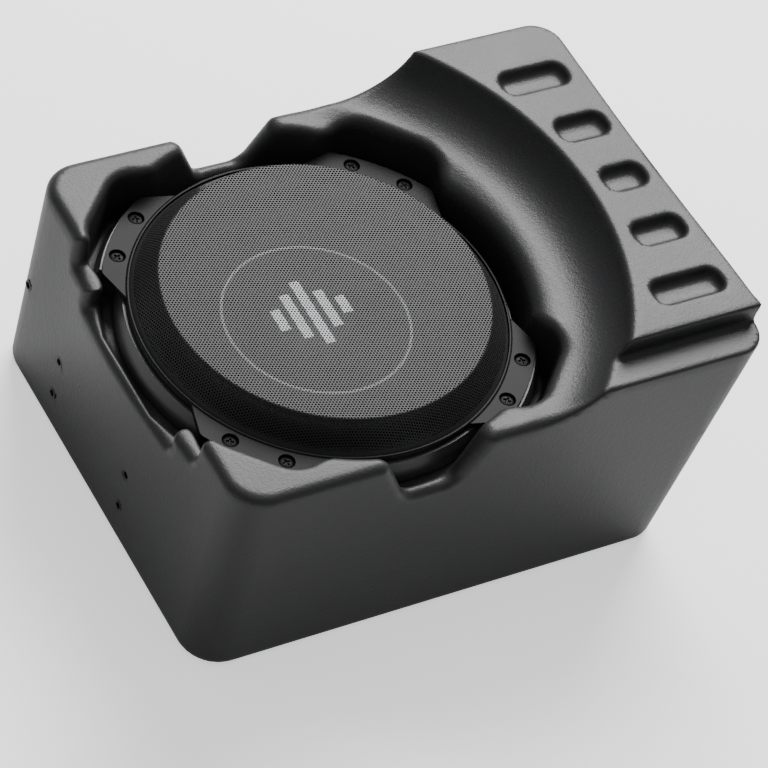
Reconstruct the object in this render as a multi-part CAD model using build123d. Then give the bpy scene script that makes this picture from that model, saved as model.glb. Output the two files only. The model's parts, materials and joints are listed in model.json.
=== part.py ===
from build123d import *
import math
import os

# Powered car subwoofer: a hollow moulded enclosure, a shallow 10-inch driver behind a
# perforated grille, and an amplifier in a recess of the rear wall. Millimetres.
# Z is up and the base is Z = 0. X runs from the plain left end to the raised plateau,
# Y from the front wall to the rear wall, and the origin is under the middle of the box.

# ---- enclosure ----
BOX_X, BOX_Y = 372.0, 288.0     # length at the plateau, width
PLATEAU_Z = 191.5               # top of the raised end
PAD_Z = 161.5                   # top of the corner pads round the well
BAFFLE_Z = 119.0                # floor of the well, where the driver sits
NOTCH_Z = 127.0                 # floors of the three notches in the well's walls
BASE_RIGHT = 157.0              # the right end leans out from here to BOX_X / 2
WALL = 6.0
CORNER_R, END_CORNER_R = 26.0, 20.0
FAR = 210.0                     # any height clear above the box

DRIVER_X = -52.0                # the driver's axis stands at (DRIVER_X, 0)
WELL_R = 134.0
WELL_LEFT = 131.0               # the well stops this far left of the driver's axis
LOBE_R, LOBE_W, LOBE_CORNER = 151.0, 84.0, 16.0
TAB_ANGLES = (45, 135, 225, 315)

COVE_X, COVE_Y = -77.0, 4.0     # centre of the cove that climbs to the plateau
COVE_FOOT_R, COVE_TOP_R = 172.0, 210.0

NOTCH_FLOOR, NOTCH_TOP = 33.0, 70.0       # widths of the front and rear notches
FRONT_NOTCH_X, REAR_NOTCH_X = DRIVER_X + 4.0, DRIVER_X - 1.5
LEFT_NOTCH_Y = (-61.0, 55.0)              # floor of the notch in the left wall
SHELF_Z, SHELF_LENGTH = 140.0, 22.0       # the step at each end of that notch
NOTCH_DROP = 6.0                          # the sides of that notch slope by this much

POCKET_DEPTH, POCKET_W = 9.0, 19.0
POCKET_PITCH = 47.5
POCKETS = ((148.0, 50.0), (157.0, 38.0), (161.0, 32.0), (159.0, 38.0), (152.0, 52.0))
POCKET_Y = 97.5                 # the rearmost pocket

STEP_X, STEP_Y, STEP_Z = 64.0, -125.0, 175.0   # the step along the plateau's front edge

AMP_X, AMP_Z = 72.0, 67.0       # middle of the amplifier recess
AMP_W, AMP_H, AMP_DEPTH = 134.0, 106.0, 14.0
AMP_HOLE_W, AMP_HOLE_H = 110.0, 82.0

# ---- fastening points in the left end ----
BRACKET_Y, BRACKET_Z = 22.5, 43.0
BRACKET_DY, BRACKET_DZ = 97.0, 30.0
STRAP_Y, STRAP_Z = 123.0, 75.0
INSERT_R, INSERT_BORE_R, INSERT_L = 3.6, 2.5, 12.0
BOSS_R, BOSS_L = 7.5, 9.0

# ---- driver, heights in the box's frame ----
SCREW_R = 130.0                 # circle of the eight trim screws
SCREW_HALF_ANGLE = 8.0          # each tab has a pair of screws this far either side
GASKET_T = 1.5
FLANGE_TOP = 136.0
FLANGE_R, FLANGE_LOBE_R, FLANGE_LOBE_W = 128.0, 142.5, 68.0
FLANGE_SLOPE_RUN, FLANGE_SLOPE_DROP = 3.5, 9.0   # the sloping band round the flange
TRIM_TOP = 140.0
TRIM_IN_R, TRIM_OUT_R, TAB_R = 120.5, 122.5, 137.7
MOUNT_T = 5.5
DRIVER_HOLE_R = 114.0
GRILLE_TOP, GRILLE_FLAT_R, GRILLE_FOOT_R, GRILLE_T = 158.5, 105.6, 118.6, 0.9
CONE_R = 91.5
STROKE = 10.0                   # the cone moves this far each way

UP = Axis.Z


def turned(*points):
    """A ring or disc: a closed profile of (radius, height) points turned about Z."""
    outline = Polyline(*[(r, 0, z) for r, z in points], close=True)
    return revolve(make_face(outline), UP)


def block(x0, x1, y0, y1, z0, z1):
    """A box between two corners."""
    return Pos((x0 + x1) / 2, (y0 + y1) / 2, (z0 + z1) / 2) * Box(x1 - x0, y1 - y0, z1 - z0)


def rod(radius, z0, z1, x=0.0, y=0.0):
    """An upright cylinder from z0 to z1."""
    return Pos(x, y, (z0 + z1) / 2) * Cylinder(radius, z1 - z0)


def rod_y(radius, x, z, y0, y1):
    """A cylinder along Y from y0 to y1."""
    return Pos(x, (y0 + y1) / 2, z) * Rot(90, 0, 0) * Cylinder(radius, y1 - y0)


def rod_x(radius, y, z, x0, x1):
    """A cylinder along X from x0 to x1."""
    return Pos((x0 + x1) / 2, y, z) * Rot(0, 90, 0) * Cylinder(radius, x1 - x0)


def at_driver(shape):
    """Moves a shape made about the Z axis onto the driver's axis."""
    return Pos(DRIVER_X, 0, 0) * shape


def polar(radius, degrees):
    """A point at a radius and an angle."""
    angle = math.radians(degrees)
    return radius * math.cos(angle), radius * math.sin(angle)


def screw_points():
    """The eight trim screws: a pair on each tab."""
    return [polar(SCREW_R, a + s * SCREW_HALF_ANGLE) for a in TAB_ANGLES for s in (-1, 1)]


def bracket_points():
    """The four bracket holes in the left end, as (y, z)."""
    return [(BRACKET_Y + i * BRACKET_DY / 2, BRACKET_Z + j * BRACKET_DZ / 2)
            for i in (-1, 1) for j in (-1, 1)]


def amp_screw_points():
    """The eight screws round the amplifier panel, as (x, z)."""
    dx, dz = AMP_W / 2 - 8.0, AMP_H / 2 - 8.0
    ring = [(i * dx, j * dz) for i in (-1, 1) for j in (-1, 1)]
    ring += [(0, -dz), (0, dz), (-dx, 0), (dx, 0)]
    return [(AMP_X + x, AMP_Z + z) for x, z in ring]


# ------------------------------------------------------------------ enclosure
def well_outline(grow):
    """The well seen from above: a circle with a lobe for each tab of the driver."""
    outline = Circle(WELL_R + grow)
    reach = LOBE_R + grow
    for angle in TAB_ANGLES:
        lobe = RectangleRounded(2 * reach, LOBE_W + 2 * grow, LOBE_CORNER + grow)
        inner_half = Pos(-reach, 0) * Rectangle(2 * reach, 2 * reach)
        outline += Rot(0, 0, angle) * (lobe - inner_half)
    middle = Pos(reach / 2 - (WELL_LEFT + grow) / 2, 0)
    return outline & (middle * Rectangle(reach + WELL_LEFT + grow, 2 * reach))


def wall_notch(middle_x, side, grow):
    """The sloping-sided notch in the front (side -1) or rear (side 1) wall."""
    slope = (NOTCH_TOP - NOTCH_FLOOR) / 2 / (PAD_Z - NOTCH_Z)
    floor = NOTCH_Z - grow
    half_floor = NOTCH_FLOOR / 2 + grow
    half_top = half_floor + slope * (FAR - floor)
    corners = ((-half_floor, floor), (half_floor, floor), (half_top, FAR), (-half_top, FAR))
    face = make_face(Polyline(*[(middle_x + x, 0, z) for x, z in corners], close=True))
    return extrude(face, side * BOX_Y, dir=(0, 1, 0))


def left_notch(grow):
    """The wide notch in the left wall, with a shelf at each end, as a face at X = 0."""
    y0, y1 = LEFT_NOTCH_Y
    drop = NOTCH_DROP
    points = [(y0 - SHELF_LENGTH - drop - grow, FAR), (y0 - SHELF_LENGTH - grow, SHELF_Z - grow),
              (y0 - drop - grow, SHELF_Z - grow), (y0 - grow, NOTCH_Z - grow),
              (y1 + grow, NOTCH_Z - grow), (y1 + drop + grow, SHELF_Z - grow),
              (y1 + SHELF_LENGTH + grow, SHELF_Z - grow), (y1 + SHELF_LENGTH + drop + grow, FAR)]
    return make_face(Polyline(*[(0, y, z) for y, z in points], close=True))


def cove(grow):
    """Everything above the pads and the cove, turned about the cove's centre."""
    rise = PLATEAU_Z - PAD_Z
    run = COVE_TOP_R - COVE_FOOT_R
    radius = (rise ** 2 + run ** 2) / (2 * rise)
    centre_z = PAD_Z + radius
    reach = radius + grow
    diagonal = reach * math.sqrt(0.5)
    foot = (COVE_FOOT_R, 0, PAD_Z - grow)
    middle = (COVE_FOOT_R + diagonal, 0, centre_z - diagonal)
    top = (COVE_FOOT_R + reach, 0, centre_z)
    edge = [Line((0, 0, PAD_Z - grow), foot), ThreePointArc(foot, middle, top),
            Polyline(top, (top[0], 0, FAR + 5), (0, 0, FAR + 5), (0, 0, PAD_Z - grow))]
    return Pos(COVE_X, COVE_Y, 0) * revolve(make_face(edge), UP)


def body_form(inset):
    """The whole form of the enclosure with every face moved inwards by inset."""
    lean = (BOX_X / 2 - BASE_RIGHT) / PLATEAU_Z
    shift = inset * math.hypot(1, lean)
    left, low, high = -BOX_X / 2 + inset, inset, PLATEAU_Z - inset
    side = [(left, low), (BASE_RIGHT + lean * low - shift, low),
            (BASE_RIGHT + lean * high - shift, high), (left, high)]
    face = make_face(Polyline(*[(x, 0, z) for x, z in side], close=True))
    form = extrude(face, BOX_Y / 2 - inset, dir=(0, 1, 0), both=True)
    form = fillet(form.edges().filter_by(UP), CORNER_R - inset)
    leaning = form.edges().filter_by(lambda e: e.geom_type == GeomType.LINE
                                     and abs((e % 0).X) > 0.1 and abs((e % 0).Z) > 0.5)
    form = fillet(leaning, END_CORNER_R - inset)

    form -= cove(inset)
    form -= at_driver(extrude(Pos(0, 0, BAFFLE_Z - inset) * well_outline(inset), FAR - BAFFLE_Z))
    form -= wall_notch(FRONT_NOTCH_X, -1, inset) + wall_notch(REAR_NOTCH_X, 1, inset)
    form -= Pos(-BOX_X / 2, 0, 0) * extrude(left_notch(inset), 60, dir=(1, 0, 0), both=True)

    radius = STEP_Y + BOX_Y / 2 + inset
    ledge = Pos(STEP_X + radius, -BOX_Y / 2) * Circle(radius)
    ledge += Pos(STEP_X + radius + BOX_X / 2, -BOX_Y / 2) * Rectangle(BOX_X, 2 * radius)
    form -= extrude(Pos(0, 0, STEP_Z - inset) * ledge, FAR - STEP_Z)
    for i, (x, length) in enumerate(POCKETS):
        slot = Pos(x, POCKET_Y - i * POCKET_PITCH) * SlotOverall(length + 2 * inset, POCKET_W + 2 * inset)
        form -= extrude(Pos(0, 0, PLATEAU_Z - POCKET_DEPTH - inset) * slot, FAR - PLATEAU_Z)
    form -= block(AMP_X - AMP_W / 2 - inset, AMP_X + AMP_W / 2 + inset,
                  BOX_Y / 2 - AMP_DEPTH - inset, BOX_Y,
                  AMP_Z - AMP_H / 2 - inset, AMP_Z + AMP_H / 2 + inset)
    return form


def enclosure_shell():
    """The moulded shell with its bosses and every hole in it."""
    cavity = body_form(WALL)
    for y, z in bracket_points() + [(STRAP_Y, STRAP_Z)]:
        cavity -= rod_x(BOSS_R, y, z, -BOX_X / 2, -BOX_X / 2 + WALL + BOSS_L)
    shell = body_form(0) - cavity
    shell -= at_driver(rod(DRIVER_HOLE_R, BAFFLE_Z - 20, BAFFLE_Z + 20))
    for x, y in screw_points():
        shell -= at_driver(rod(3.0, BAFFLE_Z - 20, BAFFLE_Z + 5, x, y))
    for y, z in bracket_points() + [(STRAP_Y, STRAP_Z)]:
        shell -= rod_x(INSERT_R, y, z, -BOX_X / 2 - 1, -BOX_X / 2 + INSERT_L)
    floor_y = BOX_Y / 2 - AMP_DEPTH
    shell -= block(AMP_X - AMP_HOLE_W / 2, AMP_X + AMP_HOLE_W / 2, floor_y - WALL - 2, floor_y + 1,
                   AMP_Z - AMP_HOLE_H / 2, AMP_Z + AMP_HOLE_H / 2)
    for x, z in amp_screw_points():
        shell -= rod_y(1.75, x, z, floor_y - WALL - 2, floor_y + 1)
    return shell


def insert(length):
    """A brass threaded insert along Z with its mouth at Z = 0."""
    body = rod(INSERT_R, -length, 0) - rod(INSERT_BORE_R, -length - 1, 1)
    for z in (-length * 0.35, -length * 0.7):
        body -= turned((INSERT_R - 0.5, z), (INSERT_R + 1, z), (INSERT_R + 1, z + 1), (INSERT_R - 0.5, z + 1))
    return body


def end_inserts(points):
    """Inserts in the left end at the given (y, z) points."""
    return [Pos(-BOX_X / 2, y, z) * Rot(0, -90, 0) * insert(INSERT_L) for y, z in points]


def cross_screw(length, radius, head_r, head_h, recess):
    """A cross-head screw along Z: the head stands on Z = 0 and the shank hangs below it."""
    head = turned((0, 0), (head_r, 0), (head_r, head_h * 0.55), (head_r - 0.7, head_h), (0, head_h))
    for angle in (0, 90):
        head -= Rot(0, 0, angle) * Pos(0, 0, head_h) * Box(head_r * 1.15, recess, head_h * 1.1)
    return head + turned((0, -length), (radius - 0.6, -length), (radius, -length + 1.2), (radius, 0), (0, 0))


# ------------------------------------------------------------------ driver
def mounting_ring():
    """A wood ring bonded under the well's floor, cut back beside the outer walls."""
    top = BAFFLE_Z - WALL
    ring = rod(142, top - MOUNT_T, top) - rod(DRIVER_HOLE_R, 0, FAR)
    keep = BOX_Y / 2 - WALL - 0.5
    left = -BOX_X / 2 + WALL + 0.5 - DRIVER_X
    ring &= block(left, 160, -keep, keep, 0, FAR)
    recess_x = AMP_X - AMP_W / 2 - WALL - 0.5 - DRIVER_X
    ring -= block(recess_x, 160, keep - AMP_DEPTH, 160, 0, FAR)
    for x, y in screw_points():
        ring -= rod(INSERT_R, 0, FAR, x, y)
    return at_driver(ring)


def ring_inserts():
    """Eight inserts in the mounting ring, one under each trim screw."""
    top = BAFFLE_Z - WALL
    return [at_driver(Pos(x, y, top) * insert(MOUNT_T)) for x, y in screw_points()]


def flange_outline():
    """The driver's flange seen from above: a circle with four lobes."""
    outline = Circle(FLANGE_R)
    for angle in TAB_ANGLES:
        band = Rot(0, 0, angle) * Pos(FLANGE_LOBE_R, 0) * Rectangle(2 * FLANGE_LOBE_R, FLANGE_LOBE_W)
        outline += Circle(FLANGE_LOBE_R) & band
    return outline


def driver_gasket():
    """A foam gasket under the flange."""
    gasket = extrude(Pos(0, 0, BAFFLE_Z) * (flange_outline() - Circle(116)), GASKET_T)
    for x, y in screw_points():
        gasket -= rod(3.0, 0, FAR, x, y)
    return at_driver(gasket)


def basket():
    """The driver's cast frame: lobed flange, windowed cone, spider ledge and seat."""
    low = BAFFLE_Z + GASKET_T
    flange = extrude(Pos(0, 0, low) * flange_outline(), FLANGE_TOP - low)
    top_face = flange.faces().sort_by(UP)[-1]
    flange = chamfer(top_face.outer_wire().edges(), FLANGE_SLOPE_RUN, FLANGE_SLOPE_DROP, reference=top_face)
    flange -= rod(108, 0, FAR)
    wall = turned((108, low), (113, low), (82, 70), (69, 70), (69, 57), (69, 54), (29, 54),
                  (29, 57), (66, 57), (66, 73), (79, 73), (108, low + 2))
    windows = 6
    for i in range(windows):
        corners = [(60, 0), (130, 30), (130, -30)]
        wedge = make_face(Polyline(*[(x, y, 82) for x, y in corners], close=True))
        wall -= Rot(0, 0, 30 + 360 / windows * i) * extrude(wedge, 36)
    frame = flange + wall - terminal_form(0)
    for x, y in screw_points():
        frame -= rod(2.8, 0, FAR, x, y)
    return at_driver(frame)


TERMINAL_Z = 96.0
TERMINAL_Y = 8.0


def terminal_form(grow):
    """The space of the terminal block, between two windows of the frame."""
    return block(90, 104, -15 - grow, 15 + grow, TERMINAL_Z - 8 - grow, TERMINAL_Z + 8 + grow)


def terminal_block():
    """The moulded block that carries the two push terminals."""
    body = terminal_form(0)
    for side in (-1, 1):
        body -= rod_x(3.0, side * TERMINAL_Y, TERMINAL_Z, 92, 110)
    return at_driver(body)


def push_terminals():
    """Two metal terminal posts."""
    return [at_driver(rod_x(3.0, side * TERMINAL_Y, TERMINAL_Z, 92, 109)) for side in (-1, 1)]


def trim_tab(angle):
    """One tab of the trim ring seen from above, with rounded outer corners."""
    root, tip = polar(TRIM_OUT_R - 1, 24), polar(150, 10.4)
    corners = [(100, 0), root, tip, (tip[0], -tip[1]), (root[0], -root[1])]
    tab = make_face(Polyline(*[(x, y, 0) for x, y in corners], close=True)) & Circle(TAB_R)
    tab = fillet(tab.vertices().sort_by(Axis.X)[-2:], 5)
    return Rot(0, 0, angle) * tab


def trim_ring():
    """The ring that clamps the grille: a raised lip and four tabs with screw seats."""
    outline = Circle(TRIM_OUT_R)
    for angle in TAB_ANGLES:
        outline += trim_tab(angle)
    ring = extrude(Pos(0, 0, FLANGE_TOP) * outline, TRIM_TOP - FLANGE_TOP)
    ring -= rod(TRIM_IN_R, FLANGE_TOP + 1.5, FAR) + rod(115, 0, FAR)
    ring += turned((TRIM_IN_R, TRIM_TOP - 1), (TRIM_OUT_R, TRIM_TOP - 1), (TRIM_OUT_R, TRIM_TOP),
                   (TRIM_IN_R + 1.2, TRIM_TOP + 0.8), (TRIM_IN_R, TRIM_TOP + 0.8))
    for x, y in screw_points():
        ring -= rod(2.7, 0, FAR, x, y) + rod(5.2, TRIM_TOP - 3, FAR, x, y)
    return at_driver(ring)


def trim_screws():
    """Eight cross-head screws through the tabs into the mounting ring."""
    seat = TRIM_TOP - 3
    length = seat - (BAFFLE_Z - WALL - MOUNT_T) - 1
    return [at_driver(Pos(x, y, seat) * Rot(0, 0, 17 * i) * cross_screw(length, 2.45, 4.5, 2.0, 1.1))
            for i, (x, y) in enumerate(screw_points())]


def grille():
    """The pressed sheet-steel grille: a flat top and a sloping skirt, without its holes."""
    foot_z = FLANGE_TOP + 1.6
    lean = GRILLE_T * 1.2
    return at_driver(turned(
        (0, GRILLE_TOP - GRILLE_T), (GRILLE_FLAT_R - 0.4, GRILLE_TOP - GRILLE_T),
        (GRILLE_FOOT_R - lean, TRIM_TOP + 1), (GRILLE_FOOT_R - lean, foot_z),
        (GRILLE_FOOT_R, foot_z), (GRILLE_FOOT_R, TRIM_TOP + 1.4), (GRILLE_FLAT_R, GRILLE_TOP),
        (0, GRILLE_TOP)))


def surround():
    """The half-roll rubber edge between the cone and the frame."""
    mid, z, out, inn = 100.0, FLANGE_TOP, 8.8, 8.0
    outer = ThreePointArc((mid - out, 0, z + 0.8), (mid, 0, z + 0.8 + out), (mid + out, 0, z + 0.8))
    inner = ThreePointArc((mid + inn, 0, z), (mid, 0, z + inn), (mid - inn, 0, z))
    edge = [outer, Polyline((mid + out, 0, z + 0.8), (114, 0, z + 0.8), (114, 0, z), (mid + inn, 0, z)),
            inner, Polyline((mid - inn, 0, z), (86, 0, z), (86, 0, z + 0.8), (mid - out, 0, z + 0.8))]
    return at_driver(revolve(make_face(edge), UP))


def cone():
    """The stiff paper cone, from the coil former out to the surround."""
    low, top = 97.0, FLANGE_TOP - 0.05
    neck = 26.0
    return at_driver(turned((neck, low), (84, top), (CONE_R, top), (CONE_R, top - 1.2), (84.3, top - 1.4),
                            (neck + 0.8, low - 1.4), (neck, low - 1.4)))


def cone_height(radius):
    """The height of the cone's front face at a radius."""
    return 97.0 + (radius - 26.0) * (FLANGE_TOP - 0.05 - 97.0) / (84.0 - 26.0)


def dust_cap():
    """The domed cap over the voice coil."""
    rim, rise, thick, steps = 38.0, 10.0, 1.0, 12
    z = cone_height(rim) + 0.1
    radii = [rim * i / steps for i in range(steps + 1)]
    outer = [(r, z + thick + rise * (1 - (r / rim) ** 2)) for r in radii]
    inner = [(r, z + rise * (1 - (r / (rim - thick)) ** 2)) for r in radii[:-1]]
    return at_driver(turned(*outer, (rim, z), (rim - thick, z), *inner[::-1]))


def former():
    """The thin tube that carries the voice coil."""
    return at_driver(turned((25.4, 40), (25.8, 40), (25.8, 100), (25.4, 100)))


def voice_coil():
    """The copper winding on the former."""
    return at_driver(turned((25.8, 40), (26.7, 40), (26.7, 60), (25.8, 60)))


def spider():
    """The corrugated cloth disc that centres the coil."""
    start, end, rolls, height = 30.0, 63.0, 5, 2.2
    steps = 4 * rolls
    def wave(i):
        return start + (end - start) * i / steps, 74 + height * math.sin(i * math.pi / 2)
    ridge = [wave(i) for i in range(steps + 1)]
    lower = [(25.85, 73.05), (start, 73.5)] + [(r, z - 0.4) for r, z in ridge[1:-1]] + [(end + 1, 73.05)]
    top = [(r, z + 0.4) for r, z in ridge[1:-1]]
    outline = lower + [(78, 73.05), (78, 73.9), (end + 1, 73.9)] + top[::-1] + [(start, 74.3), (25.85, 74.0)]
    return at_driver(turned(*outline))


def top_plate():
    """The steel plate round the magnetic gap."""
    return at_driver(turned((27.7, 46), (70, 46), (70, 54), (27.7, 54)))


def magnet():
    """The ferrite ring magnet."""
    return at_driver(turned((36, 28), (74, 28), (74, 46), (36, 46)))


def back_plate():
    """The steel back plate and vented pole in one turning."""
    return at_driver(turned((8, 18), (68, 18), (70, 21), (70, 28), (24.6, 28), (24.6, 55), (12, 55), (8, 50)))


# ------------------------------------------------------------------ amplifier
FLOOR_Y = BOX_Y / 2 - AMP_DEPTH
AMP_GASKET_T = 0.8
PANEL_BACK = FLOOR_Y + AMP_GASKET_T
PANEL_FRONT = PANEL_BACK + 3.0
BOARD_Y, BOARD_T = 108.0, 1.6
PANEL_W, PANEL_H = AMP_W - 4.0, AMP_H - 4.0
FIN_TOP = BOX_Y / 2 - 1.0

KNOB_X = (36.0, 54.0, 72.0)     # gain, low-pass and bass-boost controls
CONTROL_Z = 97.0
KNOB_R, KNOB_SHAFT_R = 6.0, 3.0
SWITCH_X = 87.0
LED_X = 98.0
RCA_X = (108.0, 120.0)
SOCKET_X, SOCKET_Z = 114.0, 71.0
REMOTE_X, REMOTE_Z = 115.0, 53.0
POWER_X, POWER_Z = 109.0, 34.0
FUSE_X, FUSE_Z = 82.0, 34.0
STANDOFFS = ((22.0, 103.0), (22.0, 31.0), (122.0, 84.0), (100.0, 46.5))   # (x, z)


def amp_gasket():
    """The flat gasket between the panel and the recess."""
    x, z = AMP_X, AMP_Z
    seal = block(x - PANEL_W / 2, x + PANEL_W / 2, FLOOR_Y, PANEL_BACK, z - PANEL_H / 2, z + PANEL_H / 2)
    seal -= block(x - AMP_HOLE_W / 2, x + AMP_HOLE_W / 2, 0, BOX_Y, z - AMP_HOLE_H / 2, z + AMP_HOLE_H / 2)
    for sx, sz in amp_screw_points():
        seal -= rod_y(2.2, sx, sz, 0, BOX_Y)
    return seal


def amp_panel():
    """The aluminium panel: a plate with heat-sink fins and an opening for each control."""
    x, z = AMP_X, AMP_Z
    panel = block(x - PANEL_W / 2, x + PANEL_W / 2, PANEL_BACK, PANEL_FRONT, z - PANEL_H / 2, z + PANEL_H / 2)
    fins, pitch, left = 9, 6.0, 18.0
    for i in range(fins):
        fin_x = left + i * pitch
        panel += block(fin_x, fin_x + 2.2, PANEL_FRONT, FIN_TOP, 41, 86)
    for knob_x in KNOB_X:
        panel -= rod_y(KNOB_SHAFT_R + 0.3, knob_x, CONTROL_Z, 0, BOX_Y)
    panel -= block(SWITCH_X - 5, SWITCH_X + 5, 0, BOX_Y, CONTROL_Z - 2.2, CONTROL_Z + 2.2)
    panel -= rod_y(2.05, LED_X, CONTROL_Z, 0, BOX_Y)
    for rca_x in RCA_X:
        panel -= rod_y(5.0, rca_x, CONTROL_Z, 0, BOX_Y)
    panel -= block(SOCKET_X - 11, SOCKET_X + 11, 0, BOX_Y, SOCKET_Z - 5, SOCKET_Z + 5)
    panel -= block(REMOTE_X - 7, REMOTE_X + 7, 0, BOX_Y, REMOTE_Z - 6.5, REMOTE_Z + 6.5)
    panel -= block(POWER_X - 16, POWER_X + 16, 0, BOX_Y, POWER_Z - 7, POWER_Z + 7)
    panel -= block(FUSE_X - 9, FUSE_X + 9, 0, BOX_Y, FUSE_Z - 5, FUSE_Z + 5)
    for sx, sz in amp_screw_points():
        panel -= rod_y(2.2, sx, sz, 0, BOX_Y)
    for sx, sz in STANDOFFS:
        panel -= rod_y(1.6, sx, sz, 0, BOX_Y)
    return panel


def amp_screws():
    """Eight screws through the panel into the recess."""
    screw = cross_screw(8.4, 1.7, 3.8, 2.2, 0.9)
    return [Pos(x, PANEL_FRONT, z) * Rot(-90, 0, 0) * screw for x, z in amp_screw_points()]


def board_standoffs():
    """Four hexagonal pillars between the panel and the board."""
    face = BOARD_Y + BOARD_T
    pillars = []
    for x, z in STANDOFFS:
        hexagon = extrude(Plane.XZ * RegularPolygon(3.2, 6), PANEL_BACK - face)
        pillar = Pos(x, PANEL_BACK, z) * hexagon
        pillars.append(pillar - rod_y(1.25, x, z, 0, BOX_Y))
    return pillars


def board_screws():
    """Four screws that hold the board to its pillars."""
    screw = cross_screw(7, 1.2, 2.6, 1.6, 0.6)
    return [Pos(x, BOARD_Y, z) * Rot(90, 0, 0) * screw for x, z in STANDOFFS]


def panel_screws():
    """Four screws that hold the pillars to the panel."""
    screw = cross_screw(8, 1.2, 2.6, 1.6, 0.6)
    return [Pos(x, PANEL_FRONT, z) * Rot(-90, 0, 0) * screw for x, z in STANDOFFS]


def amp_board():
    """The amplifier's circuit board."""
    board = block(AMP_X - 53, AMP_X + 53, BOARD_Y, BOARD_Y + BOARD_T, AMP_Z - 40, AMP_Z + 40)
    for x, z in STANDOFFS:
        board -= rod_y(1.3, x, z, 0, BOX_Y)
    return board


def capacitors():
    """Three reservoir capacitors on the inner face of the board."""
    cans = []
    for x in (44.0, 58.0, 72.0):
        can = rod_y(6.2, x, 41, BOARD_Y - 26, BOARD_Y)
        cans.append(can - (rod_y(7, x, 41, BOARD_Y - 5, BOARD_Y - 4) - rod_y(5.8, x, 41, 0, BOX_Y)))
    return cans


def power_toroid():
    """The supply's wound ring core."""
    return Pos(92, BOARD_Y - 6.5, 79) * Rot(90, 0, 0) * Torus(12, 6.5)


def output_coils():
    """Two output filter coils."""
    coils = []
    for z in (72.0, 92.0):
        coils.append(rod_y(7, 60, z, BOARD_Y - 14, BOARD_Y) - rod_y(2.5, 60, z, BOARD_Y - 15, BOARD_Y - 2))
    return coils


def power_devices():
    """Four power transistors clamped against the panel."""
    return [block(x, x + 10, PANEL_BACK - 4.6, PANEL_BACK, 44, 60)
            for x in (32.0, 44.0, 56.0, 68.0)]


def device_clamp():
    """The steel bar that presses the transistors to the panel."""
    return block(31, 79, PANEL_BACK - 6.6, PANEL_BACK - 4.6, 48, 56)


def knob(x):
    """A ribbed knob with a pointer and its shaft."""
    low = PANEL_FRONT + 0.5
    body = rod_y(KNOB_R, x, CONTROL_Z, low, low + 8)
    for i in range(12):
        angle = math.radians(30 * i + 15)
        body -= rod_y(0.7, x + KNOB_R * math.cos(angle), CONTROL_Z + KNOB_R * math.sin(angle), low + 1.5, BOX_Y)
    body -= block(x - 0.5, x + 0.5, low + 7.2, BOX_Y, CONTROL_Z + 1, CONTROL_Z + KNOB_R + 1)
    return body + rod_y(KNOB_SHAFT_R, x, CONTROL_Z, PANEL_BACK - 6, low)


def control_pots():
    """The three potentiometers behind the knobs."""
    face = BOARD_Y + BOARD_T
    pots = []
    for x in KNOB_X:
        pot = block(x - 7, x + 7, face, PANEL_BACK - 2, CONTROL_Z - 7, CONTROL_Z + 7)
        pots.append(pot - rod_y(KNOB_SHAFT_R + 0.05, x, CONTROL_Z, PANEL_BACK - 7, BOX_Y))
    return pots


def phase_switch_body():
    """The housing of the phase switch."""
    face = BOARD_Y + BOARD_T
    body = block(SWITCH_X - 7, SWITCH_X + 7, face, PANEL_BACK - 0.2, CONTROL_Z - 4, CONTROL_Z + 4)
    return body - block(SWITCH_X - 5, SWITCH_X + 5, PANEL_BACK - 4, BOX_Y, CONTROL_Z - 2, CONTROL_Z + 2)


def phase_switch_slider():
    """The slider of the phase switch, shown at its left stop."""
    body = block(SWITCH_X - 4.8, SWITCH_X - 0.8, PANEL_BACK - 3.8, PANEL_FRONT + 2.4, CONTROL_Z - 1.8, CONTROL_Z + 1.8)
    for i in range(3):
        x = SWITCH_X - 4.1 + i
        body -= block(x, x + 0.4, PANEL_FRONT + 2.0, BOX_Y, CONTROL_Z - 2, CONTROL_Z + 2)
    return body


def led_lens():
    """The clear lens of the power light."""
    dome = Pos(LED_X, PANEL_FRONT, CONTROL_Z) * Sphere(1.95)
    return rod_y(1.95, LED_X, CONTROL_Z, BOARD_Y + BOARD_T, PANEL_FRONT) + dome


def rca_sockets():
    """Two line-input sockets."""
    sockets = []
    for x in RCA_X:
        body = rod_y(4.95, x, CONTROL_Z, BOARD_Y + BOARD_T, PANEL_FRONT + 1)
        barrel = rod_y(4.1, x, CONTROL_Z, PANEL_FRONT, PANEL_FRONT + 8.5)
        sockets.append(body + barrel - rod_y(1.6, x, CONTROL_Z, PANEL_FRONT - 6, BOX_Y))
    return sockets


def high_level_socket():
    """The four-way socket for speaker-level input."""
    face = BOARD_Y + BOARD_T
    body = block(SOCKET_X - 10.9, SOCKET_X + 10.9, face, PANEL_FRONT + 2, SOCKET_Z - 4.9, SOCKET_Z + 4.9)
    body -= block(SOCKET_X - 9.5, SOCKET_X + 9.5, PANEL_FRONT - 7, BOX_Y, SOCKET_Z - 3.6, SOCKET_Z + 3.6)
    for i in range(4):
        pin_x = SOCKET_X - 6.9 + 4.6 * i
        body += rod_y(0.6, pin_x, SOCKET_Z, PANEL_FRONT - 8, PANEL_FRONT - 1)
    return body


def remote_socket():
    """The modular socket for the remote level control."""
    face = BOARD_Y + BOARD_T
    body = block(REMOTE_X - 6.9, REMOTE_X + 6.9, face, PANEL_FRONT + 1, REMOTE_Z - 6.4, REMOTE_Z + 6.4)
    body -= block(REMOTE_X - 5.5, REMOTE_X + 5.5, PANEL_FRONT - 10, BOX_Y, REMOTE_Z - 3.5, REMOTE_Z + 3.8)
    return body - block(REMOTE_X - 2.4, REMOTE_X + 2.4, PANEL_FRONT - 10, BOX_Y, REMOTE_Z - 5.5, REMOTE_Z)


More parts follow.
